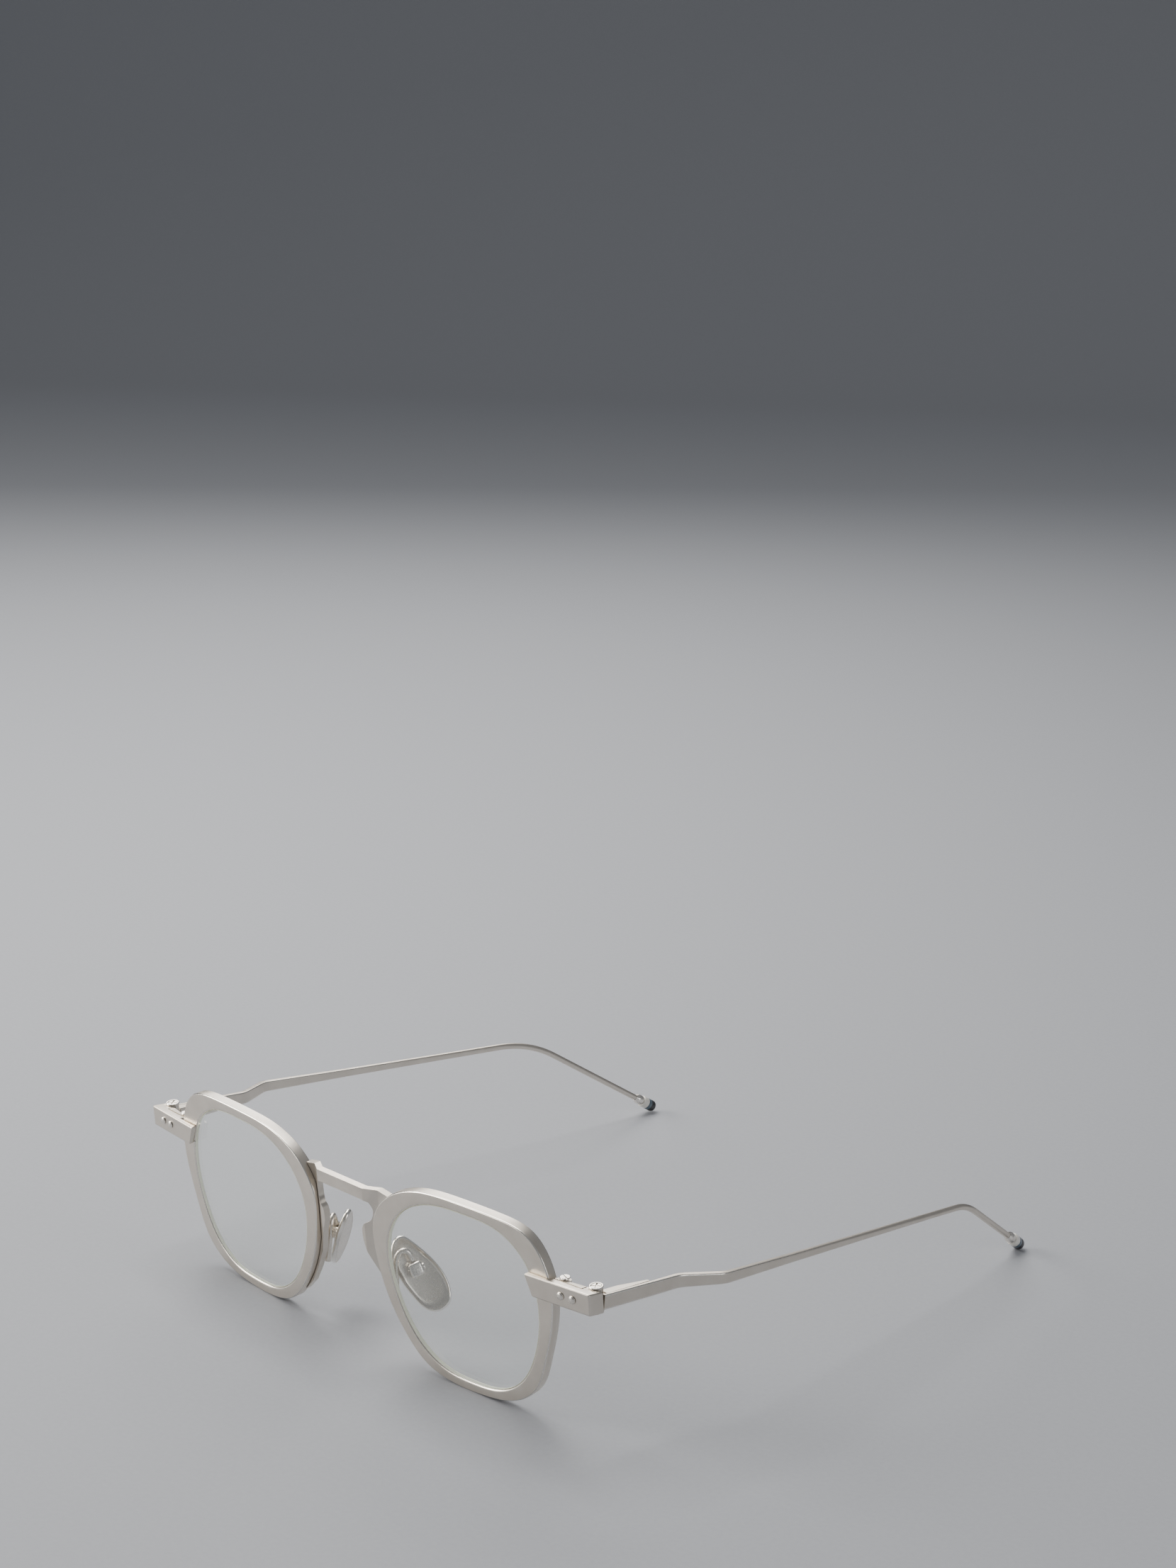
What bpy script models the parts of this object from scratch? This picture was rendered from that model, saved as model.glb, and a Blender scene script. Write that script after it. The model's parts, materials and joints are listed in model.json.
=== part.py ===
"""Metal eyeglasses: two plate rims on a rear bridge, riveted wrap end pieces, screw
hinges, kinked temples with ringed tips, and rocking nose pads on wire arms.

Lengths are millimetres, and are scaled to metres where a mesh is made.
Front frame: X is across the face, Y runs back from the rim fronts, Z is up the rims.
Left and right are the wearer's, so left is on +X.
"""
import math

import bmesh
import bpy
import numpy as np

# ---- driving dimensions -------------------------------------------------------------
front_half_width = 68.2       # centre line to the outer side of an end piece
rim_spacing = 66.6            # between the two rim centres
rim_outer_width = 49.0        # outside of a rim, across
rim_outer_height = 41.6       # outside of a rim, up
opening_width = 41.2          # lens opening, across
opening_height = 37.4         # lens opening, up
rim_depth = 2.35              # front to back of a rim plate
wrap_angle = 4.0              # each rim turns back by this many degrees
rim_chamfer = 0.35
groove_depth = 0.55           # lens groove cut outwards from the opening
groove_width = 1.1
closing_gap = 0.2             # slot where a rim is closed by its screw
closing_height = 9.0          # height of that slot above the rim centre

lens_thickness = 2.0
lens_bulge = 0.6              # how far the middle of a lens stands forward
lens_clearance = 0.08

bridge_rise = 0.7885          # top of the bridge bar, as a share of a rim's half height
bridge_bar_height = 2.6
bridge_thickness = 1.5
bridge_half_flat = 7.0        # half length of the straight middle of the bar
bridge_half_span = 9.8        # where the bar has stepped back beside the rims
bridge_front = -1.9           # front face of the bar's middle
bridge_recess = 1.4           # bridge arms lie this far behind the rim fronts

plate_inner = 52.1            # inner end of the end piece's front plate, at its top
plate_slant = 1.75            # the inner end leans outwards by this, top to bottom
plate_front_inner = 0.05      # front face at the inner end
plate_front_outer = 1.74      # front face at the outer corner
plate_top = 11.64             # top of the plate
plate_height = 4.6
bar_depth = 2.0               # plate thickness outside the rim
leg_width = 3.6               # return leg of the end piece, across
leg_back = 5.42               # where the leg ends
leg_slope = 0.20              # the leg's top and bottom fall by this per millimetre
end_piece_round = 0.32        # rounded top and bottom edges of the end piece
edge_break = 0.12             # broken edges of the small blocks
edge_steps = 3

hinge_inset = 2.0             # hinge axis in from the outer side
hinge_back = 5.7              # hinge axis behind the rim plane
hinge_level = 8.45            # middle of the hinge above the rim centre
ear_radius = 1.3
ear_gap_half = 1.25           # from the hinge middle to the inside of an ear
ear_top = 2.7                 # upper ear ends this far above the hinge middle
ear_low = 2.3                 # lower ear ends this far below the hinge middle
tongue_half_height = 1.0
washer_thickness = 0.15
hinge_shaft_radius = 0.62
hinge_head_radius = 1.45
hinge_head_height = 0.32

rivet_spacing = 2.9
rivet_outer_x = 63.95
rivet_head_radius = 0.85
rivet_shank_radius = 0.5
rivet_head_height = 0.4
rivet_grip = 1.0              # how far a rivet reaches into the block behind

closing_x = 59.35             # closing screw, across
closing_y = 4.1               # closing screw, back
closing_boss_radius = 1.25
closing_block_back = 4.8      # back of the closing block beside the leg
closing_shaft_radius = 0.5
closing_head_radius = 1.05
closing_head_height = 0.32

temple_slit = 0.35            # visible gap between end piece and temple
temple_height = 3.1           # bar height at the hinge
temple_thickness = 1.35       # bar thickness at the kink
temple_butt_thickness = 0.65
jog_start = 20.5              # along the temple from the hinge axis
jog_end = 29.1
jog_out = 4.45                # the temple steps outwards by this
jog_fall = 5.3                # height lost between the hinge and the end of the jog
temple_convergence = 7.3      # degrees that the long stretch runs inwards
ear_bend_left = 116.0         # corner of each ear bend, back from the hinge axis
ear_bend_right = 102.0
slope_left = 0.252            # fall per millimetre of each long stretch
slope_right = 0.166
bend_cut_left = 4.6           # each ear bend is rounded over this length
bend_cut_right = 9.0
wire_reach = 132.5            # where the wire ends, back from the hinge axis
wire_fall = 41.9              # where the wire ends, below the hinge middle
wire_diameter = 1.4
leaf_length = 13.0
leaf_inner = 0.5              # hinge leaf reaches this far inside the axis
ferrule_length = 2.4
ferrule_diameter = 2.4
tip_diameter = 2.8
tip_collar_length = 1.7
tip_ring_length = 1.0
tip_cap_length = 1.7

pad_length = 17.2
pad_width = 9.4
pad_thickness = 1.2
pad_splay = 30.0              # degrees, seen from above
pad_lean = 26.0               # degrees, seen from the front
pad_pivot = (13.5, 6.0, -2.4)  # middle of the box screw
pad_offset = 2.0              # pivot to the pad's middle plane
pad_drop = 1.4                # pad middle below the pivot, along the pad
pad_back = 0.5                # pad middle behind the pivot, across the pad
pad_dish = 0.5                # depth of the hollow in the side that faces the rim
pad_box_width = 2.8
pad_box_length = 3.1
pad_box_depth = 2.3
pad_box_round = 0.65
pad_slot = 1.3
pad_wire_diameter = 1.2
pad_screw_radius = 0.35

fit = 0.05                    # gap between pieces that touch
bore_fit = 0.04               # radial gap round a shaft

mm = 0.001
rim_steps = 72
lens_steps = 48
round_steps = 20

titanium = ("satin_titanium", (0.60, 0.56, 0.51), 0.38, 1.0, 1.0)
steel = ("polished_steel", (0.75, 0.74, 0.72), 0.16, 1.0, 1.0)
clear = ("clear_lens", (0.92, 0.96, 0.93), 0.03, 0.0, 0.3)
ivory = ("ivory_enamel", (0.86, 0.84, 0.78), 0.25, 0.0, 1.0)
slate = ("slate_enamel", (0.22, 0.26, 0.28), 0.25, 0.0, 1.0)
charcoal = ("charcoal_enamel", (0.06, 0.06, 0.07), 0.3, 0.0, 1.0)

# Outlines in half sizes, anticlockwise from the temporal side: (across, up).
rim_outline = [
    (0.985, 0.10), (1.0, 0.36), (0.945, 0.66), (0.76, 0.92), (0.45, 0.99), (0.0, 1.0),
    (-0.46, 0.96), (-0.79, 0.79), (-0.985, 0.47), (-0.985, 0.16), (-0.87, -0.32),
    (-0.70, -0.65), (-0.47, -0.90), (-0.16, -0.995), (0.16, -0.995), (0.47, -0.93),
    (0.74, -0.72), (0.88, -0.36),
]
opening_outline = [
    (1.0, 0.08), (0.985, 0.36), (0.84, 0.73), (0.54, 0.95), (0.12, 1.0), (-0.36, 0.965),
    (-0.75, 0.76), (-0.965, 0.40), (-0.98, 0.02), (-0.86, -0.40), (-0.63, -0.76),
    (-0.30, -0.965), (0.05, -1.0), (0.38, -0.965), (0.70, -0.76), (0.90, -0.40),
]
pad_outline = [
    (-0.10, 1.0), (0.28, 0.74), (0.60, 0.42), (0.90, 0.02), (1.04, -0.42), (0.92, -0.80),
    (0.52, -0.98), (0.10, -0.98), (-0.30, -0.82), (-0.62, -0.42), (-0.84, 0.05),
    (-0.90, 0.52), (-0.66, 0.88),
]
# Nasal edge of a bridge arm, from the bar down to the arm's lower end: millimetres across,
# and up as a share of a rim's half height.
arm_edge = [
    (8.0, 0.639), (8.7, 0.558), (8.2, 0.452), (6.6, 0.399), (6.0, 0.332), (6.1, 0.236),
    (7.0, 0.106), (9.0, -0.096), (11.9, -0.385), (14.6, -0.601),
]
# Route of a pad arm's wire, from its root behind the rim up and over to the pad box.
pad_wire_route = [
    (11.45, 2.1, -7.6), (11.3, 2.5, -4.8), (11.0, 2.9, -1.8), (10.95, 3.3, 0.3),
    (11.35, 4.1, 1.55), (11.95, 4.95, 1.65), (12.45, 5.55, 0.85), (12.8, 6.0, -0.6),
]


# ---- small tools --------------------------------------------------------------------
def closed_spline(points, count):
    """Periodic cubic through the points, parametrised by chord length."""
    p = np.array(points, float)
    n = len(p)
    h = np.linalg.norm(np.roll(p, -1, 0) - p, axis=1)
    before = np.roll(h, 1)
    rise = (np.roll(p, -1, 0) - p) / h[:, None]
    rule = np.zeros((n, n))
    for i in range(n):
        rule[i, i - 1] += h[i]
        rule[i, i] += 2 * (h[i] + before[i])
        rule[i, (i + 1) % n] += before[i]
    slope = np.linalg.solve(rule, 3 * (np.roll(rise, 1, 0) * h[:, None] + rise * before[:, None]))
    at = np.linspace(0, h.sum(), count, endpoint=False)
    start = np.concatenate([[0], np.cumsum(h)[:-1]])
    k = np.searchsorted(start, at, side="right") - 1
    t = ((at - start[k]) / h[k])[:, None]
    nxt = (k + 1) % n
    step = h[k][:, None]
    return ((2 * t**3 - 3 * t**2 + 1) * p[k] + (t**3 - 2 * t**2 + t) * step * slope[k]
            + (3 * t**2 - 2 * t**3) * p[nxt] + (t**3 - t**2) * step * slope[nxt])


def open_spline(points, count):
    """Natural-looking cubic through the points: Catmull-Rom tangents."""
    p = np.array(points, float)
    tangent = np.gradient(p, axis=0)
    at = np.linspace(0, len(p) - 1, count)
    k = np.minimum(at.astype(int), len(p) - 2)
    t = (at - k)[:, None]
    return ((2 * t**3 - 3 * t**2 + 1) * p[k] + (t**3 - 2 * t**2 + t) * tangent[k]
            + (3 * t**2 - 2 * t**3) * p[k + 1] + (t**3 - t**2) * tangent[k + 1])


def radius_at(outline, width, height, angles):
    """Distance from the centre to an outline of the given size, at each angle."""
    dense = closed_spline(outline, 720) * (width / 2, height / 2)
    theta = np.unwrap(np.arctan2(dense[:, 1], dense[:, 0]))
    radius = np.hypot(dense[:, 0], dense[:, 1])
    turn = 2 * np.pi
    theta = np.concatenate([theta - turn, theta, theta + turn])
    return np.interp(angles, theta, np.tile(radius, 3))


def outer_radius(angles):
    return radius_at(rim_outline, rim_outer_width, rim_outer_height, angles)


def opening_radius(angles):
    return radius_at(opening_outline, opening_width, opening_height, angles)


def on_rim(u, v, depth):
    """Point of the left rim: u across it, v up it, depth behind its front."""
    w = math.radians(wrap_angle)
    x = rim_spacing / 2 + u * math.cos(w) - depth * math.sin(w)
    y = u * math.sin(w) + depth * math.cos(w)
    return np.stack([x + 0 * v, y + 0 * v, v + 0 * u], -1)


def rim_front(x):
    """Y of the rim's front plane at a distance x from the middle."""
    return (x - rim_spacing / 2) * math.tan(math.radians(wrap_angle))


def plate_front(x):
    slope = (plate_front_outer - plate_front_inner) / (front_half_width - plate_inner)
    return plate_front_inner + (x - plate_inner) * slope


hinge_centre = (front_half_width - hinge_inset, hinge_back, hinge_level)
rim_edge = rim_spacing / 2 + rim_outer_width / 2 * math.cos(math.radians(wrap_angle)) + 2 * fit
plate_bottom = plate_top - plate_height


def leg_level(y, at_front):
    """The return leg falls away behind the plate's outer corner."""
    return at_front - leg_slope * np.maximum(y - plate_front_outer, 0)


def flat(level):
    return lambda y: level + 0 * y


def make_material(spec):
    name, colour, roughness, metallic, alpha = spec
    if name in bpy.data.materials:
        return bpy.data.materials[name]
    made = bpy.data.materials.new(name)
    made.use_nodes = True
    shader = made.node_tree.nodes["Principled BSDF"]
    shader.inputs["Base Color"].default_value = (*colour, 1.0)
    shader.inputs["Roughness"].default_value = roughness
    shader.inputs["Metallic"].default_value = metallic
    shader.inputs["Alpha"].default_value = alpha
    made.diffuse_color = (*colour, alpha)
    return made


def add_object(name, vertices, faces, spec, parent, mirrored=False, smooth=40.0):
    """Make a mesh from millimetre points; a mirrored one is the same on -X."""
    points = np.array(vertices, float) * mm
    if mirrored:
        points[:, 0] *= -1
    mesh = bpy.data.meshes.new(name)
    mesh.from_pydata(points.tolist(), [], [tuple(f) for f in faces])
    work = bmesh.new()
    work.from_mesh(mesh)
    bmesh.ops.recalc_face_normals(work, faces=work.faces)
    work.to_mesh(mesh)
    work.free()
    mesh.shade_smooth()
    mesh.set_sharp_from_angle(angle=math.radians(smooth))
    made = bpy.data.objects.new(name, mesh)
    bpy.context.collection.objects.link(made)
    made.parent = parent
    if spec:
        mesh.materials.append(make_material(spec))
    return made


def add_empty(name, location, parent=None):
    made = bpy.data.objects.new(name, None)
    bpy.context.collection.objects.link(made)
    made.empty_display_size = 0.004
    made.parent = parent
    made.location = [c * mm for c in location]
    return made


def loft(rings, closed=False):
    """Faces over a stack of equal rings; the ends are capped unless it is closed."""
    rings = np.array(rings, float)
    rows, cols = rings.shape[:2]
    faces = []
    for i in range(rows if closed else rows - 1):
        a, b = i * cols, (i + 1) % rows * cols
        for j in range(cols):
            k = (j + 1) % cols
            faces.append((a + j, a + k, b + k, b + j))
    if not closed:
        faces.append(tuple(range(cols))[::-1])
        faces.append(tuple(range((rows - 1) * cols, rows * cols)))
    return rings.reshape(-1, 3), faces


def inset(plan, distance):
    """Move every side of an anticlockwise plan inwards by a distance."""
    p = np.array(plan, float)
    edge = np.roll(p, -1, 0) - p
    edge /= np.linalg.norm(edge, axis=1)[:, None]
    normal = np.stack([-edge[:, 1], edge[:, 0]], 1)
    before = np.roll(normal, 1, 0)
    share = 1 + (before * normal).sum(1, keepdims=True)
    return p + (before + normal) / share * distance


def slab(plan, low, high, edge=0.0):
    """Prism over a plan (x, y); low and high give Z for each y. Its edges are rounded."""
    plan = np.array(plan, float)
    turn = np.linspace(0, np.pi / 2, edge_steps + 1) if edge else [np.pi / 2]
    lower = []
    upper = []
    for a in turn:
        ring = inset(plan, edge * (1 - math.sin(a)))
        rise = edge * (1 - math.cos(a))
        lower.append(np.column_stack([ring, low(ring[:, 1]) + rise]))
        upper.append(np.column_stack([ring, high(ring[:, 1]) - rise]))
    return loft(lower + upper[::-1])


def turned(profile, origin=(0, 0, 0), axes=None, steps=round_steps):
    """Solid of revolution from (radius, height) pairs; a zero radius closes an end."""
    turn = np.linspace(0, 2 * np.pi, steps, endpoint=False)
    frame = np.eye(3) if axes is None else np.array(axes, float)
    points, faces, rows = [], [], []
    for radius, height in profile:
        if radius == 0:
            local = np.array([[0, 0, height]])
        else:
            local = np.stack([radius * np.cos(turn), radius * np.sin(turn), height + 0 * turn], 1)
        rows.append(range(len(points), len(points) + len(local)))
        points += (local @ frame + np.array(origin)).tolist()
    closed = profile[0][0] > 0
    count = len(rows) if closed else len(rows) - 1
    for i in range(count):
        a, b = rows[i], rows[(i + 1) % len(rows)]
        for j in range(steps):
            k = (j + 1) % steps
            if len(a) == 1:
                faces.append((a[0], b[k], b[j]))
            elif len(b) == 1:
                faces.append((a[j], a[k], b[0]))
            else:
                faces.append((a[j], a[k], b[k], b[j]))
    return np.array(points), faces


def swept(path, half_width, half_height, power, steps=16):
    """Sweep a rounded section along a path, its height kept as upright as it can be."""
    path = np.array(path, float)
    tangent = np.gradient(path, axis=0)
    tangent /= np.linalg.norm(tangent, axis=1)[:, None]
    side = np.cross(tangent, (0, 0, 1.0))
    side /= np.linalg.norm(side, axis=1)[:, None]
    up = np.cross(side, tangent)
    turn = np.linspace(0, 2 * np.pi, steps, endpoint=False) + np.pi / steps
    c, s = np.cos(turn), np.sin(turn)
    p = np.asarray(power, float)[:, None]
    across = np.sign(c) * np.abs(c) ** (2 / p) * np.asarray(half_width)[:, None]
    height = np.sign(s) * np.abs(s) ** (2 / p) * np.asarray(half_height)[:, None]
    return loft(path[:, None] + across[..., None] * side[:, None] + height[..., None] * up[:, None])


def joined(target, other, how):
    """Leave a Boolean modifier on target; other becomes a hidden guide."""
    cut = target.modifiers.new(other.name, "BOOLEAN")
    cut.operation = how
    cut.object = other
    cut.solver = "EXACT"
    other.hide_render = True
    other.display_type = "WIRE"


# ---- pieces -------------------------------------------------------------------------
def make_rim(side, mirrored, front):
    """Plate rim swept round its outline, open at the closing slot, grooved inside."""
    split = math.atan2(closing_height, rim_outer_width / 2)
    half_gap = closing_gap / rim_outer_width
    angles = np.linspace(split + half_gap, split + 2 * np.pi - half_gap, rim_steps)
    outer, inner = outer_radius(angles), opening_radius(angles)
    middle = rim_depth / 2
    section = [
        (outer, rim_depth), (outer, rim_chamfer), (outer - rim_chamfer, 0),
        (inner + edge_break, 0), (inner, edge_break), (inner, middle - groove_width / 2),
        (inner + groove_depth, middle), (inner, middle + groove_width / 2), (inner, rim_depth),
    ]
    rings = [on_rim(r * np.cos(angles), r * np.sin(angles), d) for r, d in section]
    add_object(side + "_rim", *loft(np.stack(rings, 1)), titanium, front, mirrored)


def make_lens(side, mirrored, front):
    """Shallow curved lens whose pointed edge sits in the rim's groove."""
    angles = np.linspace(0, 2 * np.pi, lens_steps, endpoint=False)
    edge = opening_radius(angles) - lens_clearance
    middle = rim_depth / 2
    half = lens_thickness / 2
    sides = []
    for depth in (middle - half, middle + half):
        for share in (0.35, 0.7, 1.0):
            sides.append((edge * share, depth - lens_bulge * (1 - share**2)))
    front_rows, back_rows = sides[:3], sides[3:][::-1]
    tongue = groove_width / 2 - lens_clearance
    rows = front_rows + [(edge, middle - tongue), (edge + groove_depth - lens_clearance, middle),
                         (edge, middle + tongue)] + back_rows
    points = [on_rim(r * np.cos(angles), r * np.sin(angles), d) for r, d in rows]
    verts, faces = loft(points)
    faces = faces[:-2]
    verts = np.vstack([verts, on_rim(0.0, np.float64(0), middle - half - lens_bulge)[None],
                       on_rim(0.0, np.float64(0), middle + half - lens_bulge)[None]])
    last = len(rows) * lens_steps
    for j in range(lens_steps):
        k = (j + 1) % lens_steps
        faces.append((last, k, j))
        faces.append((last + 1, last - lens_steps + j, last - lens_steps + k))
    add_object(side + "_lens", verts, faces, clear, front, mirrored)


def make_bridge(front):
    """One plate: a bar between the rims and two arms down their nasal sides."""
    angles = np.radians(np.linspace(142.7, 225.0, 24))
    reach = outer_radius(angles) + fit
    along = on_rim(reach * np.cos(angles), reach * np.sin(angles), rim_depth)[:, [0, 2]]
    half_height = rim_outer_height / 2
    top = bridge_rise * half_height
    arm = [(x, share * half_height) for x, share in arm_edge]
    half = [(bridge_half_flat, top), (bridge_half_span, top - 0.2)]
    half += along.tolist() + arm[::-1] + [(bridge_half_flat - 0.2, top - bridge_bar_height)]
    other = [(-x, z) for x, z in half[::-1]]
    outline = half + other
    work = bmesh.new()
    ring = [work.verts.new((x * mm, 0, z * mm)) for x, z in outline]
    plate = work.faces.new(ring)
    moved = bmesh.ops.extrude_face_region(work, geom=[plate])["geom"]
    for item in moved:
        if isinstance(item, bmesh.types.BMVert):
            item.co.y += bridge_thickness * mm
    for x in (-bridge_half_span, -bridge_half_flat, bridge_half_flat, bridge_half_span):
        everything = work.verts[:] + work.edges[:] + work.faces[:]
        bmesh.ops.bisect_plane(work, geom=everything, plane_co=(x * mm, 0, 0), plane_no=(1, 0, 0))
    arm_front = rim_front(bridge_half_span) + bridge_recess
    for vert in work.verts:
        x = abs(vert.co.x) / mm
        beside = rim_front(x) + bridge_recess
        bar = np.interp(x, (bridge_half_flat, bridge_half_span), (bridge_front, arm_front))
        vert.co.y += (beside if x > bridge_half_span else bar) * mm
    bmesh.ops.triangulate(work, faces=work.faces)
    bmesh.ops.recalc_face_normals(work, faces=work.faces)
    mesh = bpy.data.meshes.new("bridge")
    work.to_mesh(mesh)
    work.free()
    mesh.shade_smooth()
    mesh.set_sharp_from_angle(angle=math.radians(25))
    mesh.materials.append(make_material(titanium))
    made = bpy.data.objects.new("bridge", mesh)
    bpy.context.collection.objects.link(made)
    made.parent = front


def make_end_piece(side, mirrored, front):
    """Front plate over the rim, a return leg behind it and two ears for the hinge."""
    leg_inner = front_half_width - leg_width
    corner = 0.42
    plan = [(plate_inner, plate_front(plate_inner))]
    for a in np.radians((-90, -60, -30, 0)):
        plan.append((front_half_width - corner + corner * math.cos(a),
                     plate_front(front_half_width) + corner + corner * math.sin(a)))
    plan += [
        (front_half_width, leg_back), (leg_inner, leg_back),
        (leg_inner, plate_front(leg_inner) + bar_depth),
        (rim_edge, plate_front(rim_edge) + bar_depth),
        (rim_edge, rim_front(rim_edge) - fit),
        (plate_inner, rim_front(plate_inner) - fit),
    ]
    verts, faces = slab(plan, lambda y: leg_level(y, plate_bottom),
                        lambda y: leg_level(y, plate_top), end_piece_round)
    at_end = verts[:, 0] < plate_inner + 2 * end_piece_round
    lean = plate_slant * np.clip((plate_top - verts[at_end, 2]) / plate_height, 0, 1.1)
    on_front = verts[at_end, 1] < plate_front_inner + 0.6
    slope = (plate_front_outer - plate_front_inner) / (front_half_width - corner - plate_inner)
    verts[at_end, 0] += lean
    verts[at_end, 1] += lean * np.where(on_front, slope, math.tan(math.radians(wrap_angle)))
    piece = add_object(side + "_end_piece", verts, faces, titanium, front, mirrored)
    turn = np.linspace(0, np.pi, 13)
    ear_plan = [(-ear_radius, -1.4), (ear_radius, -1.4)]
    ear_plan += [(ear_radius * math.cos(a), ear_radius * math.sin(a)) for a in turn]
    ear_plan = np.array(ear_plan) + hinge_centre[:2]
    ears = add_object(side + "_ears", *slab(ear_plan, flat(hinge_level - ear_low), flat(hinge_level + ear_top)),
                      None, front, mirrored)
    joined(piece, ears, "UNION")
    radius = ear_radius + 0.12
    half = ear_gap_half
    cut, faces = turned([(0, -half), (radius, -half), (radius, half), (0, half)], hinge_centre)
    hollow = add_object(side + "_pocket", cut, faces, None, front, mirrored)
    sweep = np.array([(-3.0, -1.1), (0.4, -1.1), (0.4, 2.0), (-3.0, 2.0)]) + hinge_centre[:2]
    cut, faces = slab(sweep, flat(hinge_level - half + 0.01), flat(hinge_level + half - 0.01))
    swing = add_object(side + "_swing", cut, faces, None, front, mirrored)
    joined(hollow, swing, "UNION")
    joined(piece, hollow, "DIFFERENCE")
    bore = hinge_shaft_radius + bore_fit
    cut, faces = turned([(0, -4), (bore, -4), (bore, 4), (0, 4)], hinge_centre, steps=24)
    drill = add_object(side + "_hinge_bore", cut, faces, None, front, mirrored)
    joined(piece, drill, "DIFFERENCE")
    for name, place in rivet_places().items():
        joined(piece, rivet_drill(side + "_drill_" + name, place, mirrored, front), "DIFFERENCE")


def rivet_drill(name, place, mirrored, front):
    bore = rivet_shank_radius + bore_fit
    end = bar_depth + 2 * fit + rivet_grip
    cut, faces = turned([(0, -2), (bore, -2), (bore, end), (0, end)], place, rivet_axes(), 20)
    return add_object(name, cut, faces, None, front, mirrored)


def rivet_places():
    """Where each rivet's axis meets the front of the plate."""
    height = plate_top - plate_height / 2 + 0.1
    places = {}
    for name, x in (("outer", rivet_outer_x), ("inner", rivet_outer_x - rivet_spacing)):
        places[name] = (x, plate_front(x), height)
    return places


def rivet_axes():
    """Rows are the turned shape's X, Y and Z, so a rivet's own Z points back."""
    slope = math.atan2(plate_front_outer - plate_front_inner, front_half_width - plate_inner)
    across = (math.cos(slope), math.sin(slope), 0)
    back = (-math.sin(slope), math.cos(slope), 0)
    return [across, (0, 0, -1), back]


def make_rivets(side, mirrored, front):
    """Domed rivets through the plate, ending in the block behind it."""
    end = bar_depth + fit + rivet_grip
    for name, place in rivet_places().items():
        dome = [(rivet_head_radius * math.cos(a), -fit - rivet_head_height * math.sin(a))
                for a in np.linspace(0, math.radians(75), 5)]
        profile = [(0, -fit - rivet_head_height)] + dome[::-1]
        profile += [(rivet_shank_radius, -fit), (rivet_shank_radius, end), (0, end)]
        verts, faces = turned(profile, place, rivet_axes(), 16)
        add_object(side + "_rivet_" + name, verts, faces, titanium, front, mirrored)


def make_closing_blocks(side, mirrored, front):
    """Two blocks with a boss, one above and one below the rim's slot, and their screw."""
    near = bar_depth + fit
    beside_leg = min(front_half_width - leg_width, hinge_centre[0] - ear_radius) - fit
    arc = [(closing_x + closing_boss_radius * math.cos(a), closing_y + closing_boss_radius * math.sin(a))
           for a in np.linspace(math.radians(-12), math.radians(180), 11)]
    shared = arc + [(rim_edge, plate_front(rim_edge) + near)]
    upper_plan = shared + [(beside_leg, plate_front(beside_leg) + near),
                           (beside_leg, closing_block_back)]
    block_end = closing_x + closing_boss_radius
    lower_plan = shared + [(block_end, plate_front(block_end) + near)]
    seat = float(leg_level(closing_y - closing_head_radius, plate_top))
    centre = (closing_x, closing_y, seat)
    bore = closing_shaft_radius + bore_fit
    length = centre[2] - plate_bottom - 0.3
    cut, faces = turned([(0, -length), (bore, -length), (bore, 2), (0, 2)], centre, steps=32)
    half_gap = closing_gap / 2
    for name, plan, low, high in (
            ("upper", upper_plan, flat(closing_height + half_gap), lambda y: leg_level(y, plate_top)),
            ("lower", lower_plan, flat(plate_bottom), flat(closing_height - half_gap))):
        block = add_object(side + "_closing_block_" + name, *slab(plan, low, high),
                           titanium, front, mirrored)
        drill = add_object(side + "_closing_drill_" + name, cut, faces, None, front, mirrored)
        joined(block, drill, "DIFFERENCE")
        if name == "upper":
            for rivet, place in rivet_places().items():
                drill = rivet_drill(side + "_block_drill_" + rivet, place, mirrored, front)
                joined(block, drill, "DIFFERENCE")
    length -= fit
    profile = [(0, -length), (closing_shaft_radius, -length), (closing_shaft_radius, fit),
               (closing_head_radius, fit), (closing_head_radius, fit + closing_head_height * 0.7),
               (closing_head_radius * 0.85, fit + closing_head_height), (0, fit + closing_head_height)]
    verts, faces = turned(profile, centre)
    add_object(side + "_closing_screw", verts, faces, steel, front, mirrored)


def make_hinge_screw(side, mirrored, front):
    """Screw through both ears, with a low wide head and a washer on each side."""
    low, top = -ear_low, ear_top + fit
    profile = [(0, low), (hinge_shaft_radius, low), (hinge_shaft_radius, top),
               (hinge_head_radius, top), (hinge_head_radius, top + hinge_head_height * 0.7),
               (hinge_head_radius * 0.88, top + hinge_head_height), (0, top + hinge_head_height)]
    verts, faces = turned(profile, hinge_centre)
    add_object(side + "_hinge_screw", verts, faces, steel, front, mirrored)
    bore = hinge_shaft_radius + bore_fit
    middle = (tongue_half_height + ear_gap_half) / 2
    for name, at in (("upper", middle), ("lower", -middle)):
        a, b = at - washer_thickness / 2, at + washer_thickness / 2
        ring = [(bore, a), (ear_radius - 0.1, a), (ear_radius - 0.1, b), (bore, b)]
        verts, faces = turned(ring, hinge_centre)
        add_object(side + "_hinge_washer_" + name, verts, faces, steel, front, mirrored)


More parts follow.
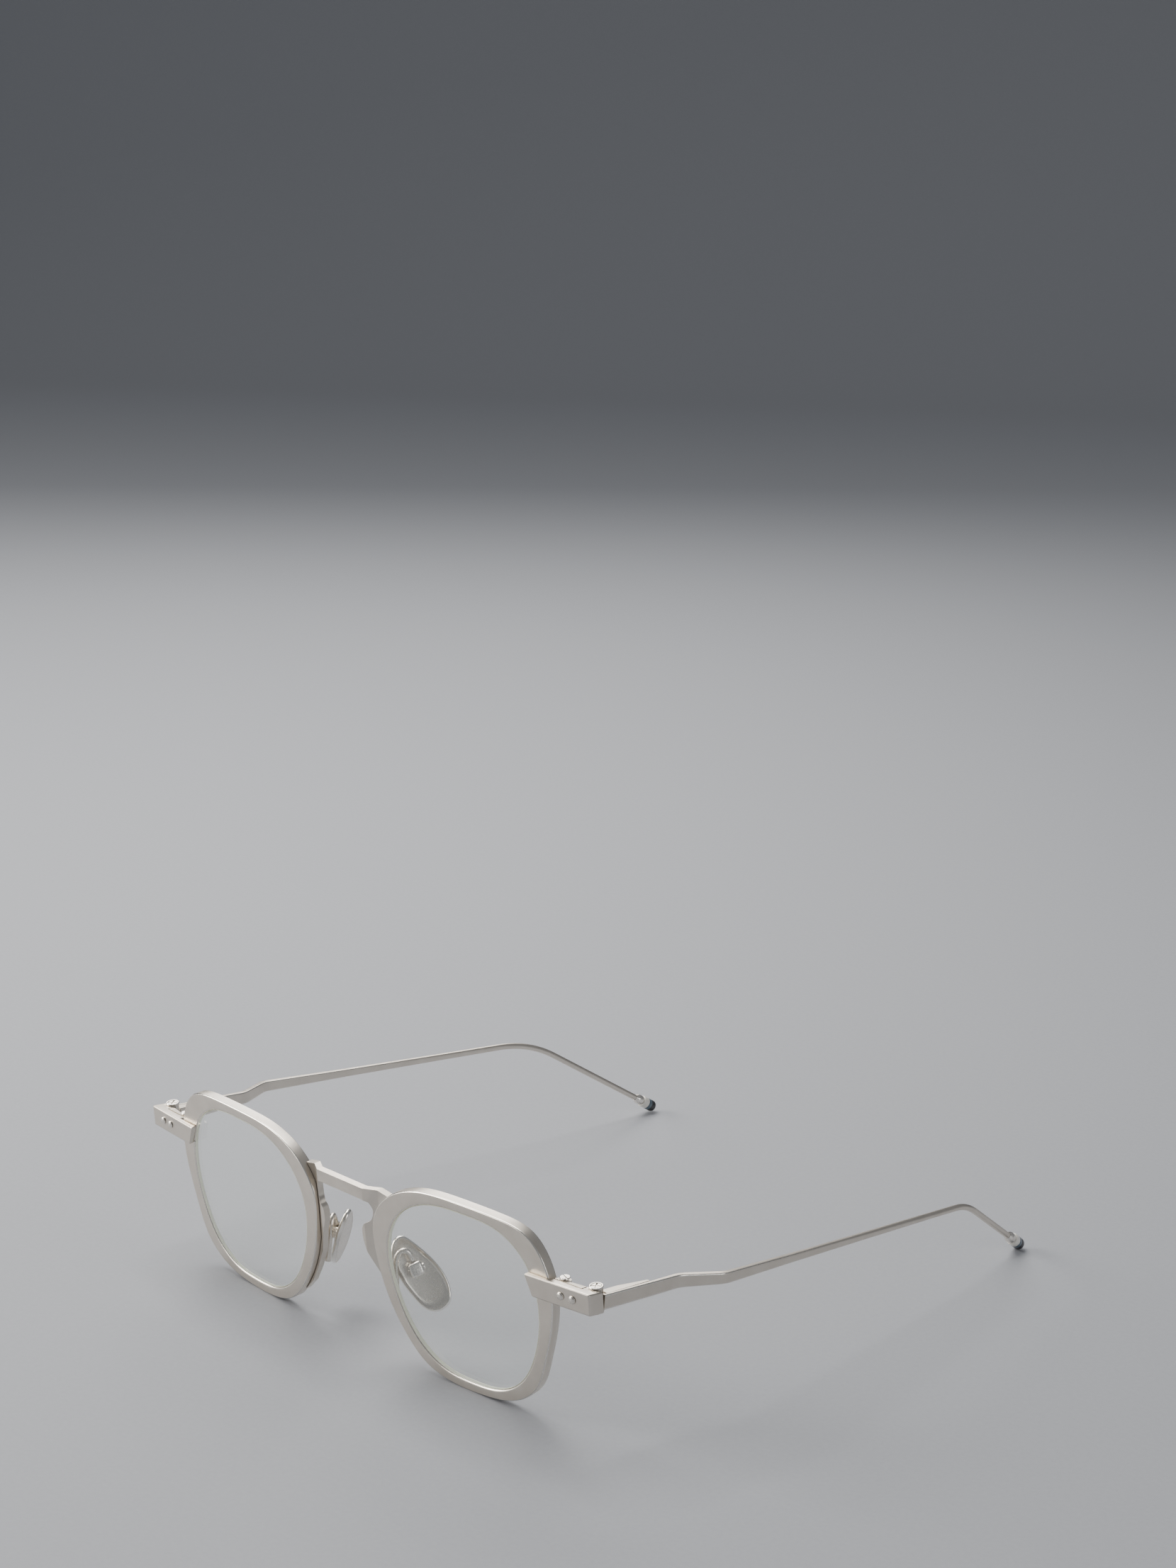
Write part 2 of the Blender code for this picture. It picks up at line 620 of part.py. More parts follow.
def make_hinge_leaf(side, mirrored, hinge):
    """Tongue between the ears, widening into a leaf along the inside of the temple."""
    outer = hinge_inset - temple_butt_thickness - fit
    shoulder = ear_radius + 0.25
    radius = ear_radius - fit
    nose = [(radius * math.cos(a), radius * math.sin(a)) for a in np.linspace(-np.pi, 0, 13)]
    plan = nose + [(radius - 0.02, shoulder + 1.0), (0.02 - leaf_inner, shoulder + 1.0),
                   (0.02 - leaf_inner, 1.1)]
    leaf = add_object(side + "_hinge_leaf",
                      *slab(plan, flat(-tongue_half_height), flat(tongue_half_height)),
                      titanium, hinge, mirrored)
    plan = [(-leaf_inner, shoulder), (outer, shoulder), (outer - 0.15, leaf_length),
            (outer - 0.7, leaf_length), (-leaf_inner, leaf_length * 0.45)]
    tall = temple_height / 2 - 0.05
    slope = jog_fall / jog_end
    body = add_object(side + "_leaf_body",
                      *slab(plan, lambda y: -tall - slope * y, lambda y: tall - slope * y),
                      None, hinge, mirrored)
    joined(leaf, body, "UNION")
    bore = hinge_shaft_radius + bore_fit
    cut, faces = turned([(0, -3), (bore, -3), (bore, 3), (0, 3)])
    drill = add_object(side + "_leaf_bore", cut, faces, None, hinge, mirrored)
    joined(leaf, drill, "DIFFERENCE")


def rounded(corners, cuts, counts, runs):
    """Polyline with each inner corner rounded, and its straight runs subdivided."""
    p = np.array(corners, float)
    line = [p[0]]
    for i, (cut, count) in enumerate(zip(cuts, counts), start=1):
        first = p[i] + (p[i - 1] - p[i]) / np.linalg.norm(p[i - 1] - p[i]) * cut
        last = p[i] + (p[i + 1] - p[i]) / np.linalg.norm(p[i + 1] - p[i]) * cut
        line += list(np.linspace(line[-1], first, runs[i - 1] + 1)[1:-1])
        for t in np.linspace(0, 1, count):
            line.append((1 - t) ** 2 * first + 2 * t * (1 - t) * p[i] + t * t * last)
    line += list(np.linspace(line[-1], p[-1], runs[-1] + 1)[1:])
    return np.array(line)


def temple_line(side):
    """Outer line of a temple in hinge axes: bar, outward jog, long stretch, ear bend."""
    slope, bend, cut = ((slope_left, ear_bend_left, bend_cut_left) if side == "left"
                        else (slope_right, ear_bend_right, bend_cut_right))
    inward = math.tan(math.radians(temple_convergence))
    start = leg_back + temple_slit - hinge_back
    edge = hinge_inset + jog_out
    corners = [
        (hinge_inset, start, 0), (hinge_inset + 0.3, jog_start, -jog_fall * jog_start / jog_end),
        (edge, jog_end, -jog_fall),
        (edge - inward * (bend - jog_end), bend, -jog_fall - slope * (bend - jog_end)),
        (edge - inward * (wire_reach - jog_end), wire_reach, -wire_fall),
    ]
    return rounded(corners, (1.4, 1.4, cut), (4, 4, 9), (6, 2, 12, 4))


def temple_section(y):
    """Half thickness, half height and squareness of the temple at a distance y."""
    wire = wire_diameter / 2
    bend = min(ear_bend_left, ear_bend_right)
    marks = (0, leaf_length, jog_start, jog_end, 0.5 * bend, 0.75 * bend, bend)
    thick = (temple_butt_thickness / 2, temple_butt_thickness / 2 + 0.15, temple_thickness / 2,
             temple_thickness / 2, temple_thickness / 2 - 0.05, wire - 0.05, wire)
    full = temple_height / 2
    tall = (full, full * 0.95, full * 0.89, full * 0.76, full * 0.57, full * 0.48, wire)
    square = (7, 7, 7, 7, 5, 3.2, 2)
    return [np.interp(y, marks, row) for row in (thick, tall, square)]


def make_temple(side, mirrored, hinge):
    """Flat bar, a sharp outward jog, a long taper to round wire and the ear bend."""
    line = temple_line(side)
    thick, tall, square = temple_section(line[:, 1])
    line[:, 0] -= thick
    add_object(side + "_temple", *swept(line, thick, tall, square), titanium, hinge, mirrored, 30.0)
    end = line[-1]
    along = line[-1] - line[-2]
    along /= np.linalg.norm(along)
    across = np.cross((0, 0, 1.0), along)
    across /= np.linalg.norm(across)
    axes = [across, np.cross(along, across), along]
    tip = tip_diameter / 2
    collar = ferrule_length + fit
    ring = collar + tip_collar_length + fit
    cap = ring + tip_ring_length + fit
    wide = ferrule_diameter / 2
    pieces = {
        "_ferrule": (steel, [(0, fit), (wire_diameter / 2 + 0.05, fit), (wide * 0.9, fit + 0.5),
                             (wide, fit + 1.1), (wide, ferrule_length - 0.2),
                             (wide * 0.92, ferrule_length), (0, ferrule_length)]),
        "_tip_collar": (ivory, [(0, collar), (tip * 0.92, collar), (tip, collar + 0.35),
                                (tip, collar + tip_collar_length), (0, collar + tip_collar_length)]),
        "_tip_ring": (slate, [(0, ring), (tip, ring), (tip, ring + tip_ring_length),
                              (0, ring + tip_ring_length)]),
        "_tip_cap": (charcoal, [(0, cap), (tip, cap), (tip, cap + tip_cap_length * 0.55),
                                (tip * 0.9, cap + tip_cap_length * 0.85),
                                (tip * 0.7, cap + tip_cap_length), (0, cap + tip_cap_length)]),
    }
    for name, (spec, profile) in pieces.items():
        verts, faces = turned(profile, end, axes)
        add_object(side + name, verts, faces, spec, hinge, mirrored)


def pad_axes():
    """Unit directions of a pad: rearward width, up its length, and out to its box."""
    splay, lean = math.radians(pad_splay), math.radians(pad_lean)
    up = np.array([-math.sin(lean), -0.015, math.cos(lean)])
    up /= np.linalg.norm(up)
    rear = np.array([math.sin(splay), math.cos(splay), 0])
    out = np.cross(rear, up)
    out /= np.linalg.norm(out)
    return np.cross(up, out), up, out


def make_pad(side, mirrored, front, pivot):
    """Nose pad on a lug, held in a slotted box by a small screw that it rocks on."""
    wide, up, out = pad_axes()
    frame = np.array([wide, up, out])
    loop = closed_spline(pad_outline, 36) * (pad_width / 2, pad_length / 2)
    half = pad_thickness / 2
    rings = []
    floor = half - pad_dish
    for share, level in ((0.8, -half), (0.94, -half * 0.7), (1.0, 0), (0.97, half * 0.8), (0.92, half),
                         (0.87, half * 0.8), (0.78, floor + 0.15), (0.6, floor)):
        ring = np.column_stack([loop * share, np.full(len(loop), level)])
        ring += (pad_back, -pad_drop, -pad_offset)
        rings.append(ring @ frame)
    verts, faces = loft(rings)
    pad = add_object(side + "_nose_pad", verts, faces, titanium, pivot, mirrored)
    lug_half = pad_slot / 2 - 0.1
    lug_radius = 0.75
    turn = np.linspace(0, np.pi, 9)
    lug = [(lug_radius * math.cos(a), lug_radius * math.sin(a)) for a in turn]
    lug += [(-lug_radius, -pad_offset - 0.15), (lug_radius, -pad_offset - 0.15)]
    rings = [[(w, length, depth) for length, depth in lug] for w in (-lug_half, lug_half)]
    verts, faces = loft(np.array(rings) @ frame)
    post = add_object(side + "_pad_lug", verts, faces, None, pivot, mirrored)
    joined(pad, post, "UNION")
    sideways = [up, out, wide]
    bore = pad_screw_radius + bore_fit
    cut, faces = turned([(0, -3), (bore, -3), (bore, 3), (0, 3)], axes=sideways, steps=12)
    drill = add_object(side + "_lug_bore", cut, faces, None, pivot, mirrored)
    joined(pad, drill, "DIFFERENCE")

    w, h, d = pad_box_width / 2, pad_box_length / 2, pad_box_depth / 2
    corner = pad_box_round
    box = []
    for quarter, (length, depth) in enumerate(((h, d), (-h, d), (-h, -d), (h, -d))):
        for a in np.radians(90 * quarter + np.array((0, 30, 60, 90))):
            box.append((length - math.copysign(corner, length) + corner * math.cos(a),
                        depth - math.copysign(corner, depth) + corner * math.sin(a)))
    rings = []
    for x, share in ((-w, 0.74), (0.26 - w, 0.93), (0.5 - w, 1), (w - 0.5, 1), (w - 0.26, 0.93), (w, 0.74)):
        rings.append([(x, length * share, depth * share) for length, depth in box])
    verts, faces = loft(np.array(rings) @ frame + pad_pivot)
    case = add_object(side + "_pad_box", verts, faces, steel, front, mirrored)
    s = pad_slot / 2
    slot = np.array([[(x, length, depth) for length in (-3, 3)] for x in (-s, s) for depth in (-3, 0.82)])
    order = slot.reshape(-1, 3)[[0, 1, 5, 4, 2, 3, 7, 6]].reshape(2, 4, 3)
    verts, faces = loft(order @ frame + pad_pivot)
    gap = add_object(side + "_box_slot", verts, faces, None, front, mirrored)
    joined(case, gap, "DIFFERENCE")
    cut, faces = turned([(0, -3), (bore, -3), (bore, 3), (0, 3)], pad_pivot, sideways, 12)
    drill = add_object(side + "_box_bore", cut, faces, None, front, mirrored)
    joined(case, drill, "DIFFERENCE")
    head = w + fit
    profile = [(0, -w), (pad_screw_radius, -w), (pad_screw_radius, head), (0.75, head),
               (0.75, head + 0.3), (0.5, head + 0.5), (0, head + 0.5)]
    verts, faces = turned(profile, pad_pivot, sideways, 12)
    add_object(side + "_pad_screw", verts, faces, steel, front, mirrored)

    route = open_spline(pad_wire_route, 30)
    route[-1] = np.array(pad_pivot) + up * (h + fit + 0.12)
    verts, faces = wire(route, np.full(len(route), pad_wire_diameter / 2))
    add_object(side + "_pad_arm", verts, faces, titanium, front, mirrored)


def wire(path, radius, steps=10):
    """Round wire along a path, its rings carried without twisting."""
    tangent = np.gradient(path, axis=0)
    tangent /= np.linalg.norm(tangent, axis=1)[:, None]
    side = np.cross(tangent[0], (0, 1.0, 0))
    rings = []
    turn = np.linspace(0, 2 * np.pi, steps, endpoint=False)
    for point, along, r in zip(path, tangent, radius):
        side = side - along * (side @ along)
        side /= np.linalg.norm(side)
        other = np.cross(along, side)
        rings.append(point + r * (np.cos(turn)[:, None] * side + np.sin(turn)[:, None] * other))
    return loft(rings)


def stand_up(front):
    """Tilt the front until rims and temple tips touch Z = 0, and centre the model."""
    bpy.context.view_layer.update()
    depsgraph = bpy.context.evaluated_depsgraph_get()
    clouds = {}
    for item in bpy.data.objects:
        if item.type == "MESH" and not item.hide_render:
            mesh = item.evaluated_get(depsgraph).to_mesh()
            local = np.empty(len(mesh.vertices) * 3)
            mesh.vertices.foreach_get("co", local)
            world = np.array(item.matrix_world)
            clouds[item.name] = local.reshape(-1, 3) @ world[:3, :3].T + world[:3, 3]
    rims = np.vstack([c for n, c in clouds.items() if n.endswith("_rim")])
    tips = np.vstack([c for n, c in clouds.items() if n.endswith("_tip_cap")])
    low, high = 0.0, math.radians(30)
    for _ in range(40):
        tilt = (low + high) / 2
        s, c = math.sin(tilt), math.cos(tilt)
        rims_low = (rims[:, 1] * s + rims[:, 2] * c).min()
        tips_low = (tips[:, 1] * s + tips[:, 2] * c).min()
        if tips_low > rims_low:
            high = tilt
        else:
            low = tilt
    cloud = np.vstack(list(clouds.values()))
    across = cloud[:, 1] * c - cloud[:, 2] * s
    front.rotation_euler = (tilt, 0, 0)
    front.location = (0, -(across.min() + across.max()) / 2, -min(rims_low, tips_low))


def build():
    for item in list(bpy.data.objects):
        bpy.data.objects.remove(item, do_unlink=True)
    front = add_empty("front", (0, 0, 0))
    make_bridge(front)
    for side, sign in (("left", 1), ("right", -1)):
        mirrored = sign < 0
        place = (sign * hinge_centre[0], hinge_centre[1], hinge_centre[2])
        hinge = add_empty(side + "_hinge_axis", place, front)
        pivot = add_empty(side + "_pad_axis", (sign * pad_pivot[0], *pad_pivot[1:]), front)
        make_rim(side, mirrored, front)
        make_lens(side, mirrored, front)
        make_end_piece(side, mirrored, front)
        make_rivets(side, mirrored, front)
        make_closing_blocks(side, mirrored, front)
        make_hinge_screw(side, mirrored, front)
        make_hinge_leaf(side, mirrored, hinge)
        make_temple(side, mirrored, hinge)
        make_pad(side, mirrored, front, pivot)
    stand_up(front)


build()
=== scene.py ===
import json
import math

import bmesh
import bpy
import numpy as np
from mathutils import Matrix, Vector


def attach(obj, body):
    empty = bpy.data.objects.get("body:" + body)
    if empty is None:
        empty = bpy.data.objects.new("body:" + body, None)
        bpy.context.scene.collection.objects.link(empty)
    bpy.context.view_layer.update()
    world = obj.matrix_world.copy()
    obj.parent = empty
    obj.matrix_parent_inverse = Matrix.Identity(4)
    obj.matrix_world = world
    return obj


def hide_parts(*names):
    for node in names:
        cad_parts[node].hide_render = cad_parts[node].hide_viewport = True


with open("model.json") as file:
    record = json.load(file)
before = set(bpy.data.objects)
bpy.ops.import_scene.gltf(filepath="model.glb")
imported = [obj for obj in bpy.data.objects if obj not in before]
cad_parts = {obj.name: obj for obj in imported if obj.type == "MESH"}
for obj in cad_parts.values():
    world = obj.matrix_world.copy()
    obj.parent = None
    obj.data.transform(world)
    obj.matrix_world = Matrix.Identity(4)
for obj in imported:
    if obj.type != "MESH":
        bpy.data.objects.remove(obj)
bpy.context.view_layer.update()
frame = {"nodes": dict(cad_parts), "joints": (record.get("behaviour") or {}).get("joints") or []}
joints = {j["name"]: j for j in frame["joints"]}
print("frame loaded:", len(frame["nodes"]), "nodes")

mm = 0.001

# The front leans forward a little. Its tilt and place come from the left temple's hinge.
hingeAt = np.array([66.2, 5.7, 8.45])
hingeUp = np.array(joints["left_temple_fold"]["axis"], float)
tilt = math.atan2(-hingeUp[1], hingeUp[2])
turn = np.array([[1, 0, 0], [0, math.cos(tilt), -math.sin(tilt)], [0, math.sin(tilt), math.cos(tilt)]])
place = np.array(joints["left_temple_fold"]["pos_m"], float) / mm - turn @ hingeAt

# Outlines in half sizes, anticlockwise from the temple side: (across, up).
rimOutline = [
    (0.985, 0.10), (1.0, 0.36), (0.945, 0.66), (0.76, 0.92), (0.45, 0.99), (0.0, 1.0),
    (-0.46, 0.96), (-0.79, 0.79), (-0.985, 0.47), (-0.985, 0.16), (-0.87, -0.32),
    (-0.70, -0.65), (-0.47, -0.90), (-0.16, -0.995), (0.16, -0.995), (0.47, -0.93),
    (0.74, -0.72), (0.88, -0.36),
]
openingOutline = [
    (1.0, 0.08), (0.985, 0.36), (0.84, 0.73), (0.54, 0.95), (0.12, 1.0), (-0.36, 0.965),
    (-0.75, 0.76), (-0.965, 0.40), (-0.98, 0.02), (-0.86, -0.40), (-0.63, -0.76),
    (-0.30, -0.965), (0.05, -1.0), (0.38, -0.965), (0.70, -0.76), (0.90, -0.40),
]
padOutline = [
    (-0.10, 1.0), (0.28, 0.74), (0.60, 0.42), (0.90, 0.02), (1.04, -0.42), (0.92, -0.80),
    (0.52, -0.98), (0.10, -0.98), (-0.30, -0.82), (-0.62, -0.42), (-0.84, 0.05),
    (-0.90, 0.52), (-0.66, 0.88),
]


def newMaterial(name, colour, roughness, metallic=0.0, **sockets):
    made = bpy.data.materials.new(name)
    made.use_nodes = True
    shader = made.node_tree.nodes["Principled BSDF"]
    shader.inputs["Base Color"].default_value = (*colour, 1)
    shader.inputs["Roughness"].default_value = roughness
    shader.inputs["Metallic"].default_value = metallic
    for socket, value in sockets.items():
        shader.inputs[socket].default_value = value
    return made, made.node_tree, shader


def noiseOn(tree, scale, detail=2.0, stretch=(1, 1, 1)):
    # noise read in object coordinates; scale is in blobs per metre
    coord = tree.nodes.new("ShaderNodeTexCoord")
    mapping = tree.nodes.new("ShaderNodeMapping")
    mapping.inputs["Scale"].default_value = stretch
    noise = tree.nodes.new("ShaderNodeTexNoise")
    noise.inputs["Scale"].default_value = scale
    noise.inputs["Detail"].default_value = detail
    tree.links.new(coord.outputs["Object"], mapping.inputs["Vector"])
    tree.links.new(mapping.outputs["Vector"], noise.inputs["Vector"])
    return noise.outputs["Fac"]


def spread(tree, value, low, high, fromLow=0.3, fromHigh=0.7):
    # straight-line remap of a value onto low..high
    ranged = tree.nodes.new("ShaderNodeMapRange")
    ranged.inputs["From Min"].default_value = fromLow
    ranged.inputs["From Max"].default_value = fromHigh
    ranged.inputs["To Min"].default_value = low
    ranged.inputs["To Max"].default_value = high
    tree.links.new(value, ranged.inputs["Value"])
    return ranged.outputs["Result"]


def mixColours(tree, factor, first, second):
    mix = tree.nodes.new("ShaderNodeMix")
    mix.data_type = "RGBA"
    tree.links.new(factor, mix.inputs["Factor"])
    for socket, colour in ((mix.inputs["A"], first), (mix.inputs["B"], second)):
        if isinstance(colour, tuple):
            socket.default_value = (*colour, 1)
        else:
            tree.links.new(colour, socket)
    return mix.outputs["Result"]


def bumpFrom(tree, shader, height, strength, distance):
    bump = tree.nodes.new("ShaderNodeBump")
    bump.inputs["Strength"].default_value = strength
    bump.inputs["Distance"].default_value = distance
    tree.links.new(height, bump.inputs["Height"])
    tree.links.new(bump.outputs["Normal"], shader.inputs["Normal"])


satin = {"colour": (0.72, 0.665, 0.59), "shade": (0.67, 0.615, 0.54), "bright": (0.88, 0.85, 0.79),
         "roughness": (0.29, 0.37), "edgeRoughness": 0.17, "grain": 7000, "cloud": 260, "bump": 0.12}


def satinTitanium():
    # blasted satin metal: fine grain, slow cloudy tone, and edges burnished smoother, with a painted highlight
    # that lightens their colour
    made, tree, shader = newMaterial("satinTitanium", satin["colour"], 0.38, 1.0)
    cloud = noiseOn(tree, satin["cloud"], 3)
    grain = noiseOn(tree, satin["grain"], 2)
    wearAndSheen = tree.nodes.new("ShaderNodeAttribute")
    wearAndSheen.attribute_name = "wearAndSheen"
    body = mixColours(tree, spread(tree, cloud, 0, 1), satin["colour"], satin["shade"])
    # painted highlight: the marked edge share mixes the colour towards a bright tint, while the lower roughness
    # there is real burnish
    edges = spread(tree, wearAndSheen.outputs["Fac"], 0, 1, 0.1, 0.9)
    tree.links.new(mixColours(tree, edges, body, satin["bright"]), shader.inputs["Base Color"])
    rough = spread(tree, grain, *satin["roughness"])
    smoother = tree.nodes.new("ShaderNodeMix")
    tree.links.new(edges, smoother.inputs["Factor"])
    tree.links.new(rough, smoother.inputs["A"])
    smoother.inputs["B"].default_value = satin["edgeRoughness"]
    tree.links.new(smoother.outputs["Result"], shader.inputs["Roughness"])
    bumpFrom(tree, shader, grain, satin["bump"], 0.00001)
    return made


def polishedSteel():
    # bright steel with faint turning marks
    made, tree, shader = newMaterial("polishedSteel", (0.82, 0.79, 0.74), 0.24, 1.0)
    marks = noiseOn(tree, 3000, 2, (1, 1, 0.2))
    tree.links.new(spread(tree, marks, 0.22, 0.30), shader.inputs["Roughness"])
    tone = mixColours(tree, spread(tree, noiseOn(tree, 900, 2), 0, 1), (0.86, 0.82, 0.76), (0.80, 0.76, 0.70))
    tree.links.new(tone, shader.inputs["Base Color"])
    bumpFrom(tree, shader, marks, 0.03, 0.000005)
    return made


def clearLens():
    # colourless lens with the faintest handling haze
    made, tree, shader = newMaterial("clearLens", (0.985, 1.0, 0.99), 0.01, 0.0,
                                     **{"Transmission Weight": 1.0, "IOR": 1.5,
                                        "Specular IOR Level": 0.06})
    tree.links.new(spread(tree, noiseOn(tree, 60, 3), 0.0, 0.02), shader.inputs["Roughness"])
    return made


def lensEdge():
    # ground bevel, pale, with a painted glow: a little emission stands in for light carried inside the lens,
    # which the glass keeps from it
    made, tree, shader = newMaterial("lensEdge", (0.80, 0.82, 0.70), 0.4, 0.0, **{"Emission Strength": 0.22})
    shader.inputs["Emission Color"].default_value = (0.80, 0.81, 0.68, 1)
    ground = noiseOn(tree, 6000, 2)
    tree.links.new(mixColours(tree, spread(tree, ground, 0, 1), (0.84, 0.86, 0.75), (0.74, 0.77, 0.66)),
                   shader.inputs["Base Color"])
    bumpFrom(tree, shader, ground, 0.2, 0.00001)
    return made


def enamel(name, colour, other):
    # glossy fired enamel with a slight pooling of colour
    made, tree, shader = newMaterial(name, colour, 0.2, 0.0, **{"Coat Weight": 0.6, "Coat Roughness": 0.05})
    pool = noiseOn(tree, 1200, 3)
    tree.links.new(mixColours(tree, spread(tree, pool, 0, 1), colour, other), shader.inputs["Base Color"])
    tree.links.new(spread(tree, pool, 0.16, 0.26), shader.inputs["Roughness"])
    bumpFrom(tree, shader, pool, 0.08, 0.00001)
    return made


titanium = satinTitanium()
steel = polishedSteel()
lensGlass = clearLens()
lensBevel = lensEdge()
ivory = enamel("ivoryEnamel", (0.80, 0.78, 0.72), (0.74, 0.71, 0.64))
slate = enamel("slateEnamel", (0.10, 0.14, 0.17), (0.07, 0.10, 0.13))
charcoal = enamel("charcoalEnamel", (0.03, 0.03, 0.033), (0.02, 0.02, 0.022))
print("materials ready")


def closedSpline(points, count):
    # periodic cubic through the points: slopes solve the equal-curvature rule at every knot
    p = np.array(points, float)
    n = len(p)
    h = np.linalg.norm(np.roll(p, -1, 0) - p, axis=1)
    before = np.roll(h, 1)
    rise = (np.roll(p, -1, 0) - p) / h[:, None]
    i = np.arange(n)
    rule = np.zeros((n, n))
    rule[i, i - 1] = h
    rule[i, i] = 2 * (h + before)
    rule[i, (i + 1) % n] = before
    slope = np.linalg.solve(rule, 3 * (np.roll(rise, 1, 0) * h[:, None] + rise * before[:, None]))
    at = np.linspace(0, h.sum(), count, endpoint=False)
    start = np.concatenate([[0], np.cumsum(h)[:-1]])
    k = np.searchsorted(start, at, side="right") - 1
    t = ((at - start[k]) / h[k])[:, None]
    nxt = (k + 1) % n
    step = h[k][:, None]
    return ((2 * t**3 - 3 * t**2 + 1) * p[k] + (t**3 - 2 * t**2 + t) * step * slope[k]
            + (3 * t**2 - 2 * t**3) * p[nxt] + (t**3 - t**2) * step * slope[nxt])


def openSpline(points, count):
    # Catmull-Rom: a cubic through the points, with tangents taken from their neighbours
    p = np.array(points, float)
    tangent = np.gradient(p, axis=0)
    at = np.linspace(0, len(p) - 1, count)
    k = np.minimum(at.astype(int), len(p) - 2)
    t = (at - k)[:, None]
    return ((2 * t**3 - 3 * t**2 + 1) * p[k] + (t**3 - 2 * t**2 + t) * tangent[k]
            + (3 * t**2 - 2 * t**3) * p[k + 1] + (t**3 - t**2) * tangent[k + 1])


def outlineRadius(outline, width, height, angles):
    # distance from the centre to the outline, read off a dense copy of it at each angle
    dense = closedSpline(outline, 1440) * (width / 2, height / 2)
    theta = np.unwrap(np.arctan2(dense[:, 1], dense[:, 0]))
    theta = np.concatenate([theta - 2 * np.pi, theta, theta + 2 * np.pi])
    return np.interp(angles, theta, np.tile(np.hypot(dense[:, 0], dense[:, 1]), 3))


def gridFaces(rows, cols, closeRows=False, closeCols=True, caps=True):
    # quads of a rows x cols grid, wrapped round where asked, and an n-gon on each open end
    i = np.arange(rows if closeRows else rows - 1)[:, None]
    j = np.arange(cols if closeCols else cols - 1)[None, :]
    a = i * cols + j
    b = i * cols + (j + 1) % cols
    c = (i + 1) % rows * cols + (j + 1) % cols
    d = (i + 1) % rows * cols + j
    faces = np.stack([a, b, c, d], -1).reshape(-1, 4).tolist()
    if caps and not closeRows:
        faces.append(list(range(cols))[::-1])
        faces.append(list(range((rows - 1) * cols, rows * cols)))
    return faces


def addPiece(name, verts, faces, material, body, nodes, mirrored=False, wearAndSheen=None, smooth=35,
             moved=True, edgeFaces=None, edgeMaterial=None):
    # one closed mesh: mirrored if asked, leaned with the front, welded at its poles, normals out
    points = np.array(verts, float).reshape(-1, 3)
    if mirrored:
        points = points * (-1, 1, 1)
    if moved:
        points = points @ turn.T + place
    mesh = bpy.data.meshes.new(name)
    mesh.from_pydata((points * mm).tolist(), [], faces)
    # a per-point share of real burnish and painted highlight, read by the satin material
    if wearAndSheen is not None:
        layer = mesh.attributes.new("wearAndSheen", "FLOAT", "POINT")
        layer.data.foreach_set("value", np.ascontiguousarray(wearAndSheen, np.float32).ravel())
    mesh.materials.append(material)
    if edgeFaces is not None:
        mesh.materials.append(edgeMaterial)
        mesh.polygons.foreach_set("material_index", np.asarray(edgeFaces, np.int32))
    work = bmesh.new()
    work.from_mesh(mesh)
    bmesh.ops.remove_doubles(work, verts=work.verts, dist=1e-8)
    bmesh.ops.recalc_face_normals(work, faces=work.faces)
    work.to_mesh(mesh)
    work.free()
    mesh.shade_smooth()
    mesh.set_sharp_from_angle(angle=math.radians(smooth))
    piece = bpy.data.objects.new(name, mesh)
    bpy.context.scene.collection.objects.link(piece)
    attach(piece, body)
    if nodes:
        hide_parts(*nodes)
    return piece


def evenNormals(piece):
    # each corner's normal is the mean of its faces by their area, so flats stay flat beside narrow rounds
    even = piece.modifiers.new("even", "WEIGHTED_NORMAL")
    even.keep_sharp = True
    even.weight = 100


def turnedGrid(profile, steps):
    # surface of revolution: every (radius, height) of the profile carried round a full circle
    around = np.linspace(0, 2 * np.pi, steps, endpoint=False)
    r, h = np.array(profile, float).T
    grid = np.stack([r[:, None] * np.cos(around), r[:, None] * np.sin(around),
                     np.repeat(h[:, None], steps, 1)], -1)
    return grid


def carried(path, halfWide, halfTall, power, steps):
    # rounded section |a|^p + |b|^p = 1 carried along a path, its height kept upright
    path = np.array(path, float)
    tangent = np.gradient(path, axis=0)
    tangent /= np.linalg.norm(tangent, axis=1)[:, None]
    side = np.cross(tangent, (0, 0, 1.0))
    side /= np.linalg.norm(side, axis=1)[:, None]
    up = np.cross(side, tangent)
    around = np.linspace(0, 2 * np.pi, steps, endpoint=False) + np.pi / steps
    c, s = np.cos(around), np.sin(around)
    p = np.asarray(power, float)[:, None]
    a = np.sign(c) * np.abs(c) ** (2 / p) * np.asarray(halfWide)[:, None]
    b = np.sign(s) * np.abs(s) ** (2 / p) * np.asarray(halfTall)[:, None]
    grid = path[:, None] + a[..., None] * side[:, None] + b[..., None] * up[:, None]
    corner = np.clip((np.minimum(np.abs(c), np.abs(s)) ** (2 / p) - 0.70) / 0.2, 0, 1)
    return grid, corner


rim = {"spacing": 66.6, "width": 49.0, "height": 41.6, "openWidth": 41.2, "openHeight": 37.4,
       "depth": 2.35, "wrap": 4.0, "frontRound": 0.3, "innerBevel": 0.5, "backRound": 0.2,
       "grooveDepth": 0.55, "grooveWidth": 1.1, "slotHeight": 9.0, "slotGap": 0.2, "steps": 300}


def onRim(u, v, depth):
    # a rim lies in a plane turned back by the wrap angle about its own centre line
    w = math.radians(rim["wrap"])
    x = rim["spacing"] / 2 + u * math.cos(w) - depth * math.sin(w)
    y = u * math.sin(w) + depth * math.cos(w)
    return np.stack(np.broadcast_arrays(x, y, v), -1)


